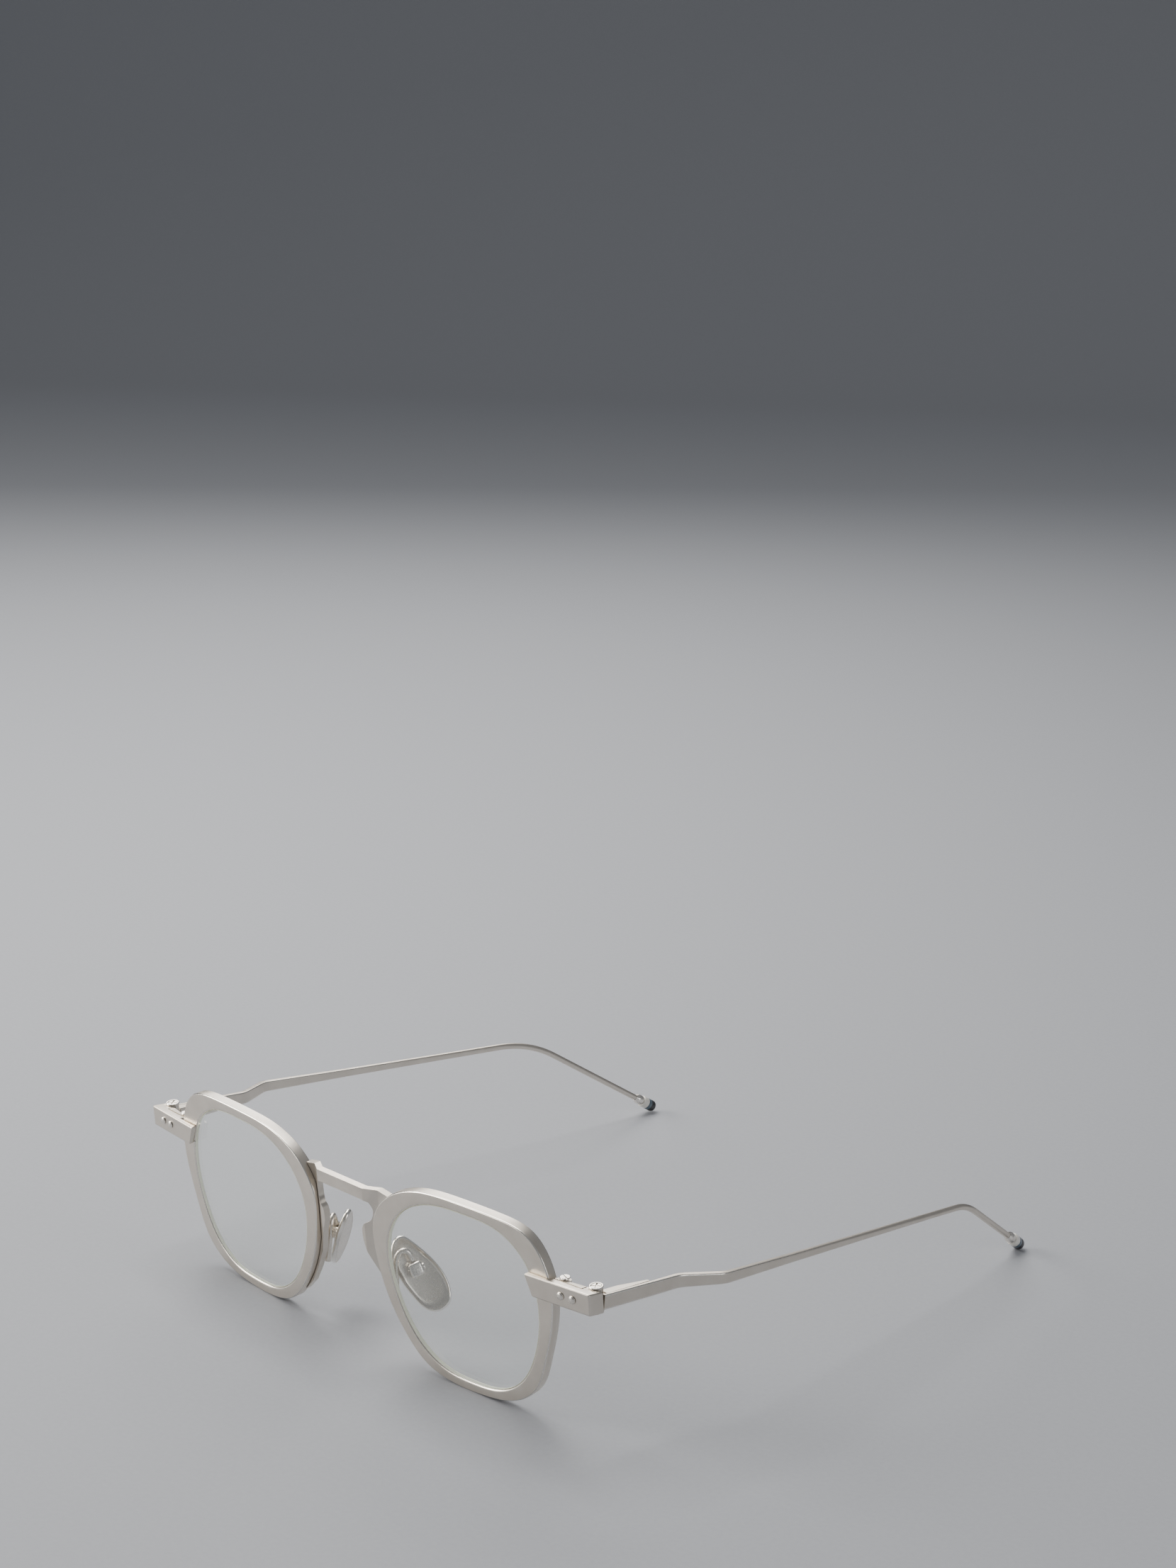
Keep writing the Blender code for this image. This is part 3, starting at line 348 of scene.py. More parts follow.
def makeRim(side, mirrored):
    # the section runs outer wall, front round, front face, inner bevel, lens groove, back face
    split = math.atan2(rim["slotHeight"], rim["width"] / 2)
    half = rim["slotGap"] / rim["width"]
    angles = np.linspace(split + half, split + 2 * np.pi - half, rim["steps"])
    outer = outlineRadius(rimOutline, rim["width"], rim["height"], angles)
    inner = outlineRadius(openingOutline, rim["openWidth"], rim["openHeight"], angles)
    depth, middle, gw = rim["depth"], rim["depth"] / 2, rim["grooveWidth"] / 2
    fr, ib, br = rim["frontRound"], rim["innerBevel"], rim["backRound"]
    q = np.linspace(0, np.pi / 2, 6)
    # each row also carries a share of burnish and painted highlight, strongest mid-way round each rounded edge
    rows, wearSheenRows = [], []
    for t in q:  # front outer round
        rows.append((outer - fr + fr * math.cos(t), fr - fr * math.sin(t)))
        wearSheenRows.append(0.9 * math.sin(2 * t))
    for share in (0.33, 0.67):
        rows.append((outer - fr + (inner + ib - outer + fr) * share, 0.0))
        wearSheenRows.append(0)
    for t in q[::-1]:  # inner bevel, a little rounded
        rows.append((inner + ib - ib * math.cos(t), ib * 0.8 - ib * 0.8 * math.sin(t)))
        wearSheenRows.append(0.5 * math.sin(2 * t))
    rows += [(inner, middle - gw), (inner + rim["grooveDepth"], middle), (inner, middle + gw)]
    wearSheenRows += [0, 0, 0]
    for t in q[::2]:  # back inner round
        rows.append((inner + br - br * math.cos(t), depth - br + br * math.sin(t)))
        wearSheenRows.append(0.5 * math.sin(2 * t))
    for t in q[::-2]:  # back outer round
        rows.append((outer - br + br * math.cos(t), depth - br + br * math.sin(t)))
        wearSheenRows.append(0.5 * math.sin(2 * t))
    grid = np.stack([onRim(r * np.cos(angles), r * np.sin(angles), d) for r, d in rows], 1)
    wearAndSheen = np.repeat(np.array(wearSheenRows)[None], len(angles), 0)
    evenNormals(addPiece(side + "Rim", grid, gridFaces(*grid.shape[:2]), titanium, "front_body",
                         [side + "_rim"], mirrored, wearAndSheen, 50))


lens = {"thickness": 2.0, "bulge": 0.6, "clear": 0.08, "steps": 200}


def makeLens(side, mirrored):
    # front and back are bowls of equal rise, depth = middle -/+ half - bulge * (1 - share^2)
    angles = np.linspace(0, 2 * np.pi, lens["steps"], endpoint=False)
    edge = outlineRadius(openingOutline, rim["openWidth"], rim["openHeight"], angles) - lens["clear"]
    middle, half = rim["depth"] / 2, lens["thickness"] / 2
    tongue = rim["grooveWidth"] / 2 - lens["clear"]
    shares = np.concatenate([[0.004], np.linspace(0.1, 1, 14)])
    front = [(edge * s, middle - half - lens["bulge"] * (1 - s * s)) for s in shares]
    back = [(edge * s, middle + half - lens["bulge"] * (1 - s * s)) for s in shares[::-1]]
    rows = front + [(edge, middle - tongue), (edge + rim["grooveDepth"] - lens["clear"], middle),
                    (edge, middle + tongue)] + back
    grid = np.stack([onRim(r * np.cos(angles), r * np.sin(angles), d) for r, d in rows])
    faces = gridFaces(*grid.shape[:2])
    band = np.zeros(len(faces), int)
    first = (len(front) - 1) * lens["steps"]
    band[first:first + 4 * lens["steps"]] = 1
    addPiece(side + "Lens", grid, faces, lensGlass, "front_body", [side + "_lens"], mirrored,
             None, 40, True, band, lensBevel)


for side, mirrored in (("left", False), ("right", True)):
    makeRim(side, mirrored)
    makeLens(side, mirrored)
print("rims and lenses done")


bridge = {"top": 16.4, "height": 2.6, "thick": 1.5, "halfFlat": 7.0, "halfSpan": 9.8, "front": -1.9,
          "recess": 1.4, "gap": 0.05, "round": 0.32}
armEdge = [(8.0, 13.3), (8.7, 11.6), (8.2, 9.4), (6.6, 8.3), (6.0, 6.9), (6.1, 4.9), (7.0, 2.2),
           (9.0, -2.0), (11.9, -8.0), (14.6, -12.5)]


def makeBridge():
    # a flat outline given thickness, bent where the bar steps back to lie beside the rims
    angles = np.radians(np.linspace(142.7, 225.0, 60))
    reach = outlineRadius(rimOutline, rim["width"], rim["height"], angles) + bridge["gap"]
    along = onRim(reach * np.cos(angles), reach * np.sin(angles), rim["depth"])[:, [0, 2]]
    low = bridge["top"] - bridge["height"]
    edge = openSpline(armEdge[::-1], 56)
    half = np.vstack([[(bridge["halfFlat"], bridge["top"]), (bridge["halfSpan"], bridge["top"] - 0.2)],
                      along, edge, [(6.8, low)]])
    outline = np.vstack([half, half[::-1] * (-1, 1)])
    grid = np.stack([np.column_stack([outline[:, 0], np.full(len(outline), y), outline[:, 1]])
                     for y in (0, bridge["thick"])])
    mesh = bpy.data.meshes.new("bridgePlate")
    mesh.from_pydata((grid.reshape(-1, 3) * mm).tolist(), [], gridFaces(*grid.shape[:2]))
    work = bmesh.new()
    work.from_mesh(mesh)
    for x in (-bridge["halfSpan"], -bridge["halfFlat"], bridge["halfFlat"], bridge["halfSpan"]):
        everything = work.verts[:] + work.edges[:] + work.faces[:]
        bmesh.ops.bisect_plane(work, geom=everything, plane_co=(x * mm, 0, 0), plane_no=(1, 0, 0))
    bmesh.ops.recalc_face_normals(work, faces=work.faces)
    work.to_mesh(mesh)
    work.free()
    co = np.empty(len(mesh.vertices) * 3)
    mesh.vertices.foreach_get("co", co)
    co = co.reshape(-1, 3) / mm
    x = np.abs(co[:, 0])
    wrap = math.tan(math.radians(rim["wrap"]))
    beside = (x - rim["spacing"] / 2) * wrap + bridge["recess"]
    armFront = (bridge["halfSpan"] - rim["spacing"] / 2) * wrap + bridge["recess"]
    bar = np.interp(x, (bridge["halfFlat"], bridge["halfSpan"]), (bridge["front"], armFront))
    co[:, 1] += np.where(x > bridge["halfSpan"], beside, bar)
    co = (co @ turn.T + place) * mm
    mesh.vertices.foreach_set("co", co.ravel())
    mesh.materials.append(titanium)
    mesh.shade_smooth()
    piece = bpy.data.objects.new("bridgePlate", mesh)
    bpy.context.scene.collection.objects.link(piece)
    soften = piece.modifiers.new("soften", "BEVEL")
    soften.width = bridge["round"] * mm
    soften.segments = 3
    soften.limit_method = "ANGLE"
    soften.angle_limit = math.radians(50)
    mesh.set_sharp_from_angle(angle=math.radians(60))
    evenNormals(piece)
    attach(piece, "front_body")
    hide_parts("bridge")


makeBridge()
print("bridge done")


temple = {"inset": 2.0, "start": 0.07, "jogStart": 20.5, "jogEnd": 29.1, "jogOut": 4.45, "jogFall": 5.3,
          "inward": 7.3, "reach": 132.5, "fall": 41.9, "height": 3.1, "butt": 0.65, "kink": 1.35,
          "wire": 1.4, "leaf": 13.0,
          "left": {"slope": 0.252, "bend": 116.0, "cut": 4.6},
          "right": {"slope": 0.166, "bend": 102.0, "cut": 9.0}}


def rounded(corners, cuts, count, spacing):
    # straight runs joined by parabolas that leave and meet them a cut away from each corner
    p = np.array(corners, float)
    line = [p[:1]]
    at = p[0]
    for i, cut in enumerate(cuts, start=1):
        first = p[i] + (p[i - 1] - p[i]) / np.linalg.norm(p[i - 1] - p[i]) * cut
        last = p[i] + (p[i + 1] - p[i]) / np.linalg.norm(p[i + 1] - p[i]) * cut
        runs = max(2, int(np.linalg.norm(first - at) / spacing))
        line.append(np.linspace(at, first, runs + 1)[1:-1])
        t = np.linspace(0, 1, count)[:, None]
        line.append((1 - t) ** 2 * first + 2 * t * (1 - t) * p[i] + t * t * last)
        at = last
    runs = max(2, int(np.linalg.norm(p[-1] - at) / spacing))
    line.append(np.linspace(at, p[-1], runs + 1)[1:])
    return np.vstack(line)


def makeTemple(side, mirrored):
    # five corners joined by rounded bends; the section goes from a squared bar to a round wire along it
    t, own = temple, temple[side]
    inward = math.tan(math.radians(t["inward"]))
    edge = t["inset"] + t["jogOut"]
    line = rounded([
        (t["inset"], t["start"], 0),
        (t["inset"] + 0.3, t["jogStart"], -t["jogFall"] * t["jogStart"] / t["jogEnd"]),
        (edge, t["jogEnd"], -t["jogFall"]),
        (edge - inward * (own["bend"] - t["jogEnd"]), own["bend"],
         -t["jogFall"] - own["slope"] * (own["bend"] - t["jogEnd"])),
        (edge - inward * (t["reach"] - t["jogEnd"]), t["reach"], -t["fall"]),
    ], (1.4, 1.4, own["cut"]), 14, 1.5)
    y = line[:, 1]
    marks = (0, t["leaf"], t["jogStart"], t["jogEnd"], 51, 76.5, 102)
    wire, full = t["wire"] / 2, t["height"] / 2
    thick = np.interp(y, marks, (t["butt"] / 2, t["butt"] / 2 + 0.15, t["kink"] / 2, t["kink"] / 2,
                                 t["kink"] / 2 - 0.05, wire - 0.05, wire))
    tall = np.interp(y, marks, (full, full * 0.95, full * 0.89, full * 0.76, full * 0.57, full * 0.48, wire))
    power = np.interp(y, marks, (7, 7, 7, 7, 5, 3.2, 2))
    line[:, 0] -= thick
    grid, corner = carried(line + hingeAt, thick, tall, power, 40)
    # painted highlight with burnish on the bar's corners, fading out towards the wire
    fade = np.interp(y, (0, 60, 102), (1, 0.6, 0))[:, None]
    evenNormals(addPiece(side + "Temple", grid, gridFaces(*grid.shape[:2]), titanium, side + "_temple_body",
                         [side + "_temple"], mirrored, corner * fade * 0.8, 45))
    end = line[-1] + hingeAt
    along = line[-1] - line[-2]
    along /= np.linalg.norm(along)
    across = np.cross((0, 0, 1.0), along)
    across /= np.linalg.norm(across)
    return end, np.array([across, np.cross(along, across), along])


tip = {"ferrule": 2.4, "ferruleWide": 2.4, "wide": 2.8, "collar": 1.7, "ring": 1.0, "cap": 1.7, "gap": 0.05}


def makeTip(side, mirrored, end, axes):
    # turned pieces on the wire's line: polished ferrule, two enamel rings and a domed cap
    r, g = tip["wide"] / 2, tip["gap"]
    wide, wire = tip["ferruleWide"] / 2, temple["wire"] / 2
    a = tip["ferrule"] + g
    b = a + tip["collar"] + g
    c = b + tip["ring"] + g
    s = np.linspace(0, np.pi / 2, 8)
    dome = [(r * (0.55 + 0.45 * math.cos(k)) if k < s[-1] else 0.001,
             c + tip["cap"] * 0.5 + tip["cap"] * 0.5 * math.sin(k)) for k in s]
    shapes = {
        "Ferrule": ("ferrule", steel, "polished_steel",
                    [(0.001, g), (wire + 0.02, g), (wire + 0.08, g + 0.12), (wide * 0.86, g + 0.55),
                     (wide * 0.97, g + 0.85), (wide, g + 1.1), (wide, tip["ferrule"] - 0.35),
                     (wide * 0.97, tip["ferrule"] - 0.12), (wide * 0.9, tip["ferrule"]),
                     (0.001, tip["ferrule"])]),
        "Collar": ("tip_collar", ivory, "ivory_enamel",
                   [(0.001, a), (r * 0.9, a), (r * 0.975, a + 0.1), (r, a + 0.35), (r, b - g - 0.08),
                    (r * 0.98, b - g), (0.001, b - g)]),
        "Ring": ("tip_ring", slate, "slate_enamel",
                 [(0.001, b), (r * 0.98, b), (r, b + 0.08), (r, c - g - 0.08), (r * 0.98, c - g),
                  (0.001, c - g)]),
        "Cap": ("tip_cap", charcoal, "charcoal_enamel",
                [(0.001, c), (r * 0.98, c), (r, c + 0.1)] + dome),
    }
    for name, (node, material, slotName, profile) in shapes.items():
        grid = turnedGrid(profile, 48) @ axes + end
        addPiece(side + "Tip" + name, grid, gridFaces(*grid.shape[:2]), material, side + "_temple_body",
                 [side + "_" + node], mirrored, None, 50)


for side, mirrored in (("left", False), ("right", True)):
    end, axes = makeTemple(side, mirrored)
    makeTip(side, mirrored, end, axes)
print("temples and tips done")


endPiece = {"halfWidth": 68.2, "inner": 52.1, "frontInner": 0.05, "frontOuter": 1.74, "top": 11.64,
            "height": 4.6, "bar": 2.0, "slope": 0.20}
rivet = {"outerX": 63.95, "spacing": 2.9, "head": 0.85, "dome": 0.4, "shank": 0.5, "grip": 1.0, "gap": 0.05,
         "wearAndSheen": 0.45}
hingeScrew = {"head": 1.45, "headTall": 0.32, "shaft": 0.62, "seat": 2.7,
              "low": 2.3, "slotWide": 0.34, "slotDeep": 0.2, "spin": 35}
closingScrew = {"x": 59.35, "y": 4.1, "head": 1.05, "headTall": 0.32, "shaft": 0.5,
                "slotWide": 0.34, "slotDeep": 0.17, "spin": -20}


def cutSlots(piece, centre, axes, length, wide, deep, crossed):
    # box cutters sunk into the head, taken away once the cut is in the mesh
    cutters = []
    for k in range(2 if crossed else 1):
        size = (length, wide, 2 * deep) if k == 0 else (wide, length, 2 * deep)
        corners = np.array([(x, y, z) for z in (-1, 1) for y in (-1, 1) for x in (-1, 1)])
        corners = corners * np.array(size) / 2
        points = ((corners @ axes + centre) @ turn.T + place) * mm
        mesh = bpy.data.meshes.new("cutter")
        mesh.from_pydata(points.tolist(), [], [(0, 2, 3, 1), (4, 5, 7, 6), (0, 1, 5, 4), (2, 6, 7, 3),
                                               (0, 4, 6, 2), (1, 3, 7, 5)])
        cutter = bpy.data.objects.new("cutter", mesh)
        bpy.context.scene.collection.objects.link(cutter)
        cut = piece.modifiers.new("slot", "BOOLEAN")
        cut.operation = "DIFFERENCE"
        cut.solver = "EXACT"
        cut.object = cutter
        cutters.append(cutter)
    bpy.context.view_layer.update()
    depsgraph = bpy.context.evaluated_depsgraph_get()
    made = bpy.data.meshes.new_from_object(piece.evaluated_get(depsgraph))
    piece.modifiers.clear()
    piece.data = made
    for cutter in cutters:
        bpy.data.objects.remove(cutter)
    made.shade_smooth()
    made.set_sharp_from_angle(angle=math.radians(35))


def slotAxes(degrees):
    # the head's own axes turned about its middle, so slots lie at this angle
    spin = math.radians(degrees)
    return np.array([(math.cos(spin), math.sin(spin), 0), (-math.sin(spin), math.cos(spin), 0), (0, 0, 1)])


def plateFront(x):
    # the plate's front runs straight from its inner depth to its outer depth
    e = endPiece
    share = (e["frontOuter"] - e["frontInner"]) / (e["halfWidth"] - e["inner"])
    return e["frontInner"] + (x - e["inner"]) * share


def makeFasteners(side, mirrored):
    # turned profiles: rivets square to the sloping plate, screws upright, slots cut after turning
    sign = -1 if mirrored else 1
    flip = np.array([sign, 1, 1])
    e, r = endPiece, rivet
    slope = math.atan2(e["frontOuter"] - e["frontInner"], e["halfWidth"] - e["inner"])
    axes = np.array([(math.cos(slope), math.sin(slope), 0), (0, 0, -1), (-math.sin(slope), math.cos(slope), 0)])
    for name, x in (("Outer", r["outerX"]), ("Inner", r["outerX"] - r["spacing"])):
        s = np.linspace(np.pi / 2, 0, 9)
        dome = [(max(0.001, r["head"] * math.cos(k)), -r["gap"] - r["dome"] * math.sin(k)) for k in s]
        profile = dome + [(r["head"] * 0.97, -r["gap"] + 0.02), (r["shank"], -r["gap"] + 0.02),
                          (r["shank"], e["bar"] + r["grip"]), (0.001, e["bar"] + r["grip"])]
        at = np.array([x, plateFront(x), e["top"] - e["height"] / 2 + 0.1])
        grid = turnedGrid(profile, 40) @ axes + at
        addPiece(side + "Rivet" + name, grid, gridFaces(*grid.shape[:2]), titanium, "front_body",
                 [side + "_rivet_" + name.lower()], mirrored,
                 np.full(grid.shape[:2], rivet["wearAndSheen"]), 50)
    h = hingeScrew
    top = hingeAt[2] + h["seat"] + 0.05
    head, tall = h["head"], h["headTall"]
    profile = [(0.001, hingeAt[2] - h["low"]), (h["shaft"], hingeAt[2] - h["low"]), (h["shaft"], top),
               (head * 0.94, top), (head, top + 0.07), (head, top + tall * 0.7), (head * 0.93, top + tall),
               (head * 0.78, top + tall), (head * 0.70, top + tall * 0.72), (head * 0.3, top + tall * 0.8),
               (0.001, top + tall * 0.82)]
    grid = turnedGrid(profile, 64) + (hingeAt[0], hingeAt[1], 0)
    screw = addPiece(side + "HingeScrew", grid, gridFaces(*grid.shape[:2]), steel, "front_body",
                     [side + "_hinge_screw"], mirrored, None, 40)
    cutSlots(screw, np.array([hingeAt[0], hingeAt[1], top + tall * 0.9]) * flip, slotAxes(h["spin"]),
             head * 1.4, h["slotWide"], h["slotDeep"] + tall * 0.1, True)
    c = closingScrew
    head, tall = c["head"], c["headTall"]
    top = e["top"] - e["slope"] * (c["y"] - head - e["frontOuter"]) + 0.05
    low = e["top"] - e["height"] + 0.35
    profile = [(0.001, low), (c["shaft"], low), (c["shaft"], top),
               (head * 0.94, top), (head, top + 0.07), (head, top + tall * 0.6), (head * 0.9, top + tall * 0.92),
               (head * 0.6, top + tall), (0.001, top + tall)]
    grid = turnedGrid(profile, 56) + (c["x"], c["y"], 0)
    screw = addPiece(side + "ClosingScrew", grid, gridFaces(*grid.shape[:2]), steel, "front_body",
                     [side + "_closing_screw"], mirrored, None, 40)
    cutSlots(screw, np.array([c["x"], c["y"], top + tall]) * flip, slotAxes(c["spin"]),
             head * 3, c["slotWide"], c["slotDeep"], False)


for side, mirrored in (("left", False), ("right", True)):
    makeFasteners(side, mirrored)
print("screws and rivets done")


pad = {"length": 17.2, "width": 9.4, "thick": 1.2, "splay": 30.0, "lean": 26.0, "pivot": (13.5, 6.0, -2.4),
       "offset": 2.0, "drop": 1.4, "back": 0.5, "dish": 0.5, "boxWide": 2.8, "boxLong": 3.1, "slot": 1.3,
       "wire": 1.2, "screw": 0.35, "gap": 0.05}
padWireRoute = [(11.45, 2.1, -7.6), (11.3, 2.5, -4.8), (11.0, 2.9, -1.8), (10.95, 3.3, 0.3), (11.35, 4.1, 1.55),
                (11.95, 4.95, 1.65), (12.45, 5.55, 0.85), (12.8, 6.0, -0.6)]


def padAxes():
    # rows are the pad's across, along and outward directions, from its splay and lean
    splay, lean = math.radians(pad["splay"]), math.radians(pad["lean"])
    up = np.array([-math.sin(lean), -0.015, math.cos(lean)])
    up /= np.linalg.norm(up)
    rear = np.array([math.sin(splay), math.cos(splay), 0])
    out = np.cross(rear, up)
    out /= np.linalg.norm(out)
    return np.array([np.cross(up, out), up, out])


def makePad(side, mirrored):
    # nose side a shallow dome, rim side a hollow that sinks as a smooth step inside a round rolled edge
    axes = padAxes()
    pivot = np.array(pad["pivot"])
    loop = closedSpline(padOutline, 120) * (pad["width"] / 2, pad["length"] / 2)
    half = pad["thick"] / 2
    domed = np.linspace(0.01, 0.9, 10)
    rolled = np.linspace(-np.pi / 2, np.pi / 2, 13)
    sunk = 0.93 - 0.92 * np.linspace(0, 1, 24) ** 1.6
    step = np.clip((0.93 - sunk) / 0.2, 0, 1)
    shares = np.concatenate([domed, 0.93 + 0.07 * np.cos(rolled), sunk[1:]])
    levels = np.concatenate([-half * (1 - 0.12 * domed**2), half * np.sin(rolled),
                             half - pad["dish"] * (1 - (1 - step) ** 2.2)[1:]])
    levels[:10] = np.minimum(levels[:10], -half * 0.86)
    rows = len(shares)
    grid = np.concatenate([loop[None] * shares[:, None, None],
                           np.broadcast_to(levels[:, None, None], (rows, len(loop), 1))], 2)
    grid = (grid + (pad["back"], -pad["drop"], -pad["offset"])) @ axes + pivot
    polishAndSheen = np.full(rows, 0.3)
    polishAndSheen[12:22] = 1.0  # the rolled edge is buffed and carries the brightest painted highlight
    wearAndSheen = np.repeat(polishAndSheen[:, None], len(loop), 1)
    verts, faces = grid.reshape(-1, 3), gridFaces(*grid.shape[:2])
    lugHalf, radius = pad["slot"] / 2 - 0.1, 0.75
    around = np.linspace(0, np.pi, 17)
    lug = np.column_stack([radius * np.cos(around), radius * np.sin(around)])
    lug = np.vstack([lug, [(-radius, -pad["offset"] - 0.15), (radius, -pad["offset"] - 0.15)]])
    thick = np.array([-lugHalf, -lugHalf + 0.12, lugHalf - 0.12, lugHalf])
    shrink = np.array([0.9, 1, 1, 0.9])
    post = np.stack([np.column_stack([np.full(len(lug), w), lug * s]) for w, s in zip(thick, shrink)])
    post = post @ axes + pivot
    base = len(verts)
    faces = faces + [[i + base for i in f] for f in gridFaces(*post.shape[:2])]
    verts = np.vstack([verts, post.reshape(-1, 3)])
    wearAndSheen = np.concatenate([wearAndSheen.ravel(), np.full(post.shape[0] * post.shape[1], 0.6)])
    addPiece(side + "NosePad", verts, faces, titanium, side + "_pad_body", [side + "_nose_pad"],
             mirrored, wearAndSheen, 45)


def makePadHardware(side, mirrored):
    # a screw turned across the box, and a round wire carried along the arm's curve
    axes = padAxes()
    pivot = np.array(pad["pivot"])
    sideways = np.array([axes[1], axes[2], axes[0]])
    w = pad["boxWide"] / 2 + pad["gap"]
    profile = [(0.001, -w), (pad["screw"], -w), (pad["screw"], w), (0.72, w), (0.76, w + 0.06),
               (0.76, w + 0.26),
               (0.66, w + 0.42), (0.4, w + 0.5), (0.001, w + 0.52)]
    grid = turnedGrid(profile, 40) @ sideways + pivot
    addPiece(side + "PadScrew", grid, gridFaces(*grid.shape[:2]), steel, "front_body",
             [side + "_pad_screw"], mirrored, None, 40)
    route = openSpline(padWireRoute, 90)
    ending = pivot + axes[1] * (pad["boxLong"] / 2 + 0.17)
    share = np.clip((np.arange(90) - 76) / 13, 0, 1)[:, None]
    route = route + (ending - route[-1]) * share**2  # eased onto the top of the box
    tangent = np.gradient(route, axis=0)
    tangent /= np.linalg.norm(tangent, axis=1)[:, None]
    spine = np.cross(tangent, (1.0, 0.25, 0))
    spine /= np.linalg.norm(spine, axis=1)[:, None]
    other = np.cross(tangent, spine)
    around = np.linspace(0, 2 * np.pi, 24, endpoint=False)
    radius = pad["wire"] / 2
    grid = (route[:, None] + radius * (np.cos(around)[None, :, None] * spine[:, None]
                                       + np.sin(around)[None, :, None] * other[:, None]))
    addPiece(side + "PadArm", grid, gridFaces(*grid.shape[:2]), titanium, "front_body",
             [side + "_pad_arm"], mirrored, np.full(grid.shape[:2], 0.35), 50)


for side, mirrored in (("left", False), ("right", True)):
    makePad(side, mirrored)
    makePadHardware(side, mirrored)
print("nose pads done")


blocks = {"end_piece": ("EndPiece", titanium, "satin_titanium", "front_body"),
          "closing_block_upper": ("ClosingBlockUpper", titanium, "satin_titanium", "front_body"),
          "closing_block_lower": ("ClosingBlockLower", titanium, "satin_titanium", "front_body"),
          "hinge_washer_upper": ("HingeWasherUpper", steel, "polished_steel", "front_body"),
          "hinge_washer_lower": ("HingeWasherLower", steel, "polished_steel", "front_body"),
          "hinge_leaf": ("HingeLeaf", titanium, "satin_titanium", "temple_body"),
          "pad_box": ("PadBox", steel, "polished_steel", "front_body")}


def makeBlock(side, node, name, material, body):
    # the frame's own shape, with its coplanar triangles merged into clean smooth faces
    source = frame["nodes"][side + "_" + node]
    mesh = source.data.copy()
    mesh.materials.clear()
    work = bmesh.new()
    work.from_mesh(mesh)
    bmesh.ops.remove_doubles(work, verts=work.verts, dist=1e-6)
    bmesh.ops.dissolve_limit(work, angle_limit=math.radians(1.5), verts=work.verts, edges=work.edges)
    work.to_mesh(mesh)
    work.free()
    mesh.materials.append(material)
    mesh.shade_smooth()
    mesh.set_sharp_from_angle(angle=math.radians(32))
    piece = bpy.data.objects.new(side + name, mesh)
    bpy.context.scene.collection.objects.link(piece)
    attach(piece, side + "_" + body if body == "temple_body" else body)
    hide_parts(side + "_" + node)
    evenNormals(piece)


for side in ("left", "right"):
    for node, (name, material, slotName, body) in blocks.items():
        makeBlock(side, node, name, material, body)
print("machined blocks done")


studio = {"floor": (0.34, 0.35, 0.375), "fibre": (0.325, 0.335, 0.36), "wide": 2.4, "flat": 1.5, "bend": 0.9,
          "world": (0.66, 0.68, 0.72), "worldPower": 0.34}


# metres and watts: place, point aimed at, size, power, colour
lights = {"topBox": ((-0.35, 0.0, 0.75), (0, 0, 0), (0.55, 0.5), 7.0, (1.0, 0.985, 0.96)),
          "keyBox": ((-0.80, -0.60, 0.50), (0, 0, 0.02), (0.6, 0.3), 8.0, (1.0, 0.97, 0.93)),
          "backBox": ((-0.66, 0.45, 0.50), (0, 0, 0.02), (0.6, 0.35), 3.0, (1.0, 0.98, 0.95)),
          "lowBox": ((-0.75, -0.85, 0.12), (0, 0, 0.02), (0.9, 0.4), 5.5, (1.0, 0.96, 0.90)),
          "rightBox": ((0.95, 0.1, 0.3), (0, 0, 0.02), (0.35, 0.4), 1.4, (0.96, 0.98, 1.0))}


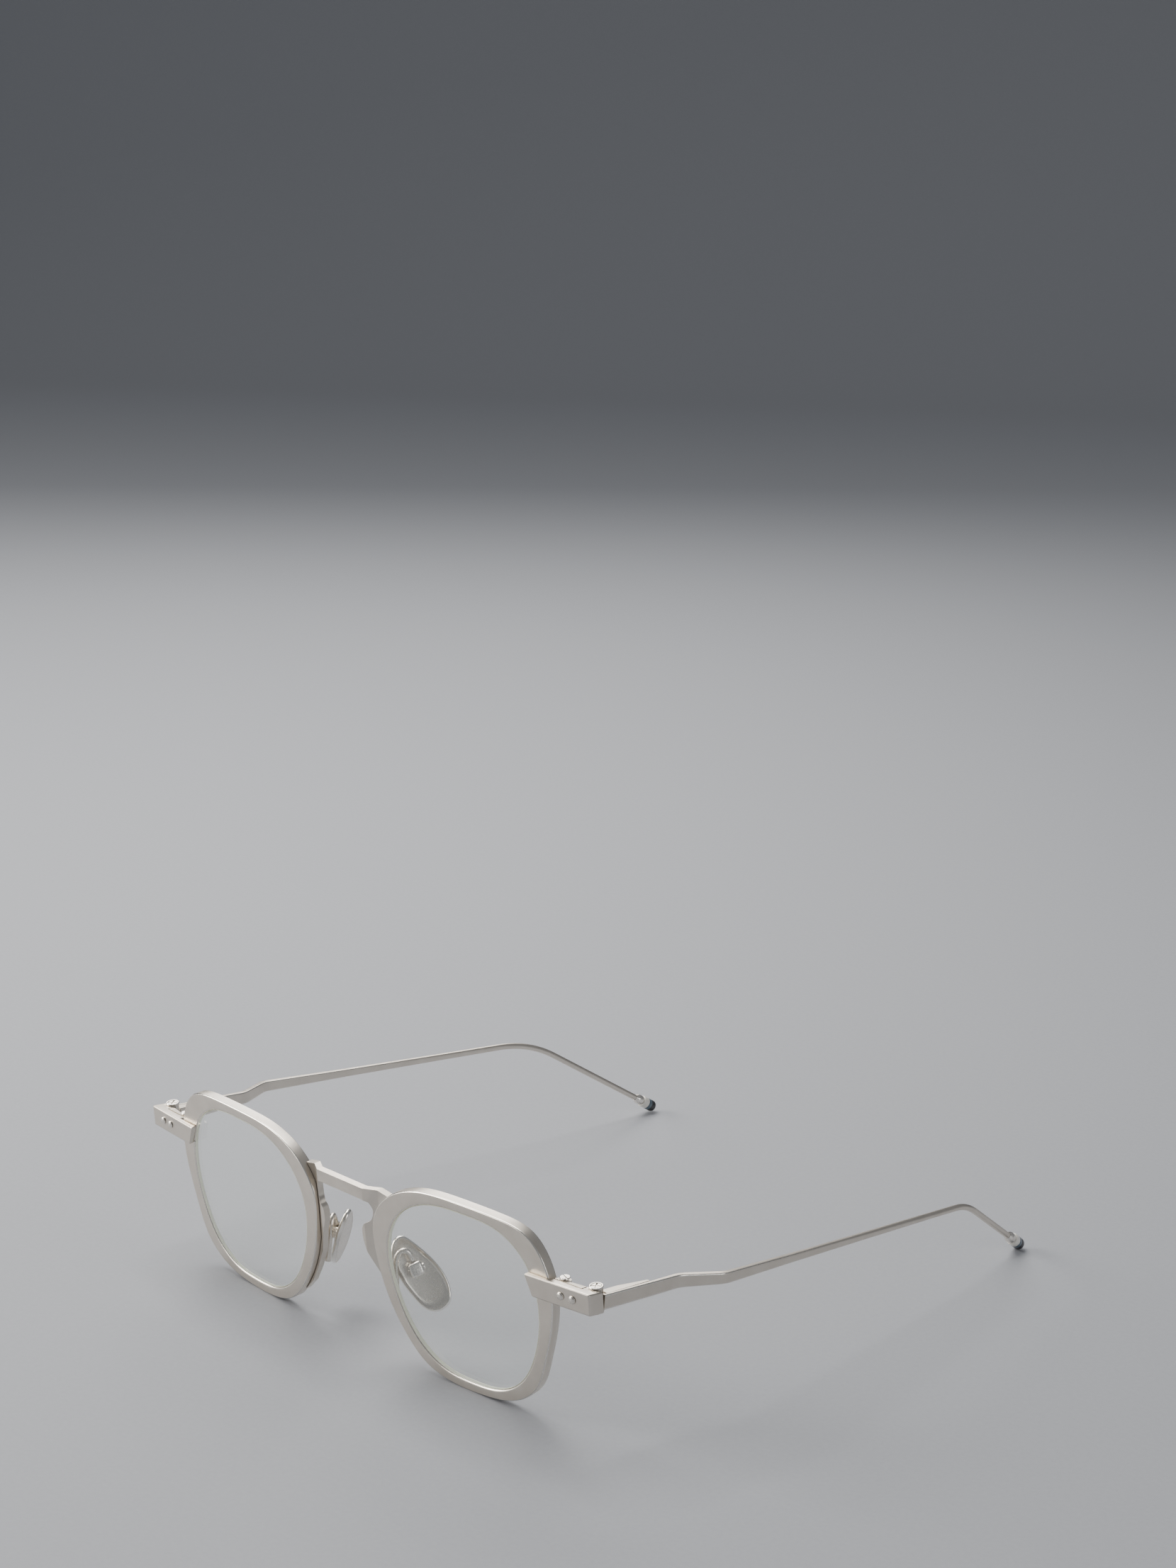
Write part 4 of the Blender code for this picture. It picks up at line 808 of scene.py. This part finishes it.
def makeFloor():
    # paper sweep: flat, then a quarter circle upwards far behind, carried straight across
    bend = np.linspace(0, np.pi / 2, 40)
    level = np.linspace(-2.0, studio["flat"], 12)[:-1]
    along = np.concatenate([level, studio["flat"] + studio["bend"] * np.sin(bend)])
    rise = np.concatenate([np.zeros(len(level)), studio["bend"] * (1 - np.cos(bend))])
    across = np.linspace(-studio["wide"], studio["wide"], 9)
    away, side = np.array([-0.7124, 0.7018, 0]), np.array([0.7018, 0.7124, 0])
    grid = along[:, None, None] * away + across[None, :, None] * side + rise[:, None, None] * np.array([0, 0, 1])
    mesh = bpy.data.meshes.new("paperSweep")
    mesh.from_pydata(grid.reshape(-1, 3).tolist(), [], gridFaces(*grid.shape[:2], False, False, False))
    mesh.shade_smooth()
    paper, tree, shader = newMaterial("greyPaper", studio["floor"], 0.7, 0.0)
    fibre = noiseOn(tree, 900, 3)
    tree.links.new(mixColours(tree, spread(tree, fibre, 0, 1), studio["floor"], studio["fibre"]),
                   shader.inputs["Base Color"])
    mesh.materials.append(paper)
    floor = bpy.data.objects.new("paperSweep", mesh)
    bpy.context.scene.collection.objects.link(floor)


def addSoftLight(name, at, aim, size, power, colour):
    lamp = bpy.data.lights.new(name, "AREA")
    lamp.shape = "RECTANGLE"
    lamp.size, lamp.size_y = size
    lamp.energy = power
    lamp.color = colour
    holder = bpy.data.objects.new(name, lamp)
    holder.location = at
    holder.rotation_euler = (Vector(aim) - Vector(at)).to_track_quat("-Z", "Y").to_euler()
    bpy.context.scene.collection.objects.link(holder)


def makeStudio():
    # even surroundings and the soft boxes
    world = bpy.data.worlds.new("studio")
    world.use_nodes = True
    world.node_tree.nodes["Background"].inputs["Color"].default_value = (*studio["world"], 1)
    world.node_tree.nodes["Background"].inputs["Strength"].default_value = studio["worldPower"]
    bpy.context.scene.world = world
    for name, light in lights.items():
        addSoftLight(name, *light)


camera = {"from": (465.3, -397.4, 251.83), "lens": 73.35,  # from the front's own origin
          "right": (0.6978, 0.7156, 0.0307), "up": (-0.1945, 0.1481, 0.9697)}


def makeCamera():
    # the camera's axes are squared up from its right and up directions
    right = Vector(camera["right"]).normalized()
    back = right.cross(Vector(camera["up"])).normalized()
    up = back.cross(right)
    eye = bpy.data.cameras.new("camera")
    eye.lens = camera["lens"]
    eye.sensor_width = 36
    eye.clip_start = 0.01
    holder = bpy.data.objects.new("camera", eye)
    axes = Matrix((right, up, back)).transposed().to_4x4()
    holder.matrix_world = Matrix.Translation(Vector((place + camera["from"]) * mm)) @ axes
    bpy.context.scene.collection.objects.link(holder)
    bpy.context.scene.camera = holder


makeFloor()
makeStudio()
makeCamera()
print("studio ready")
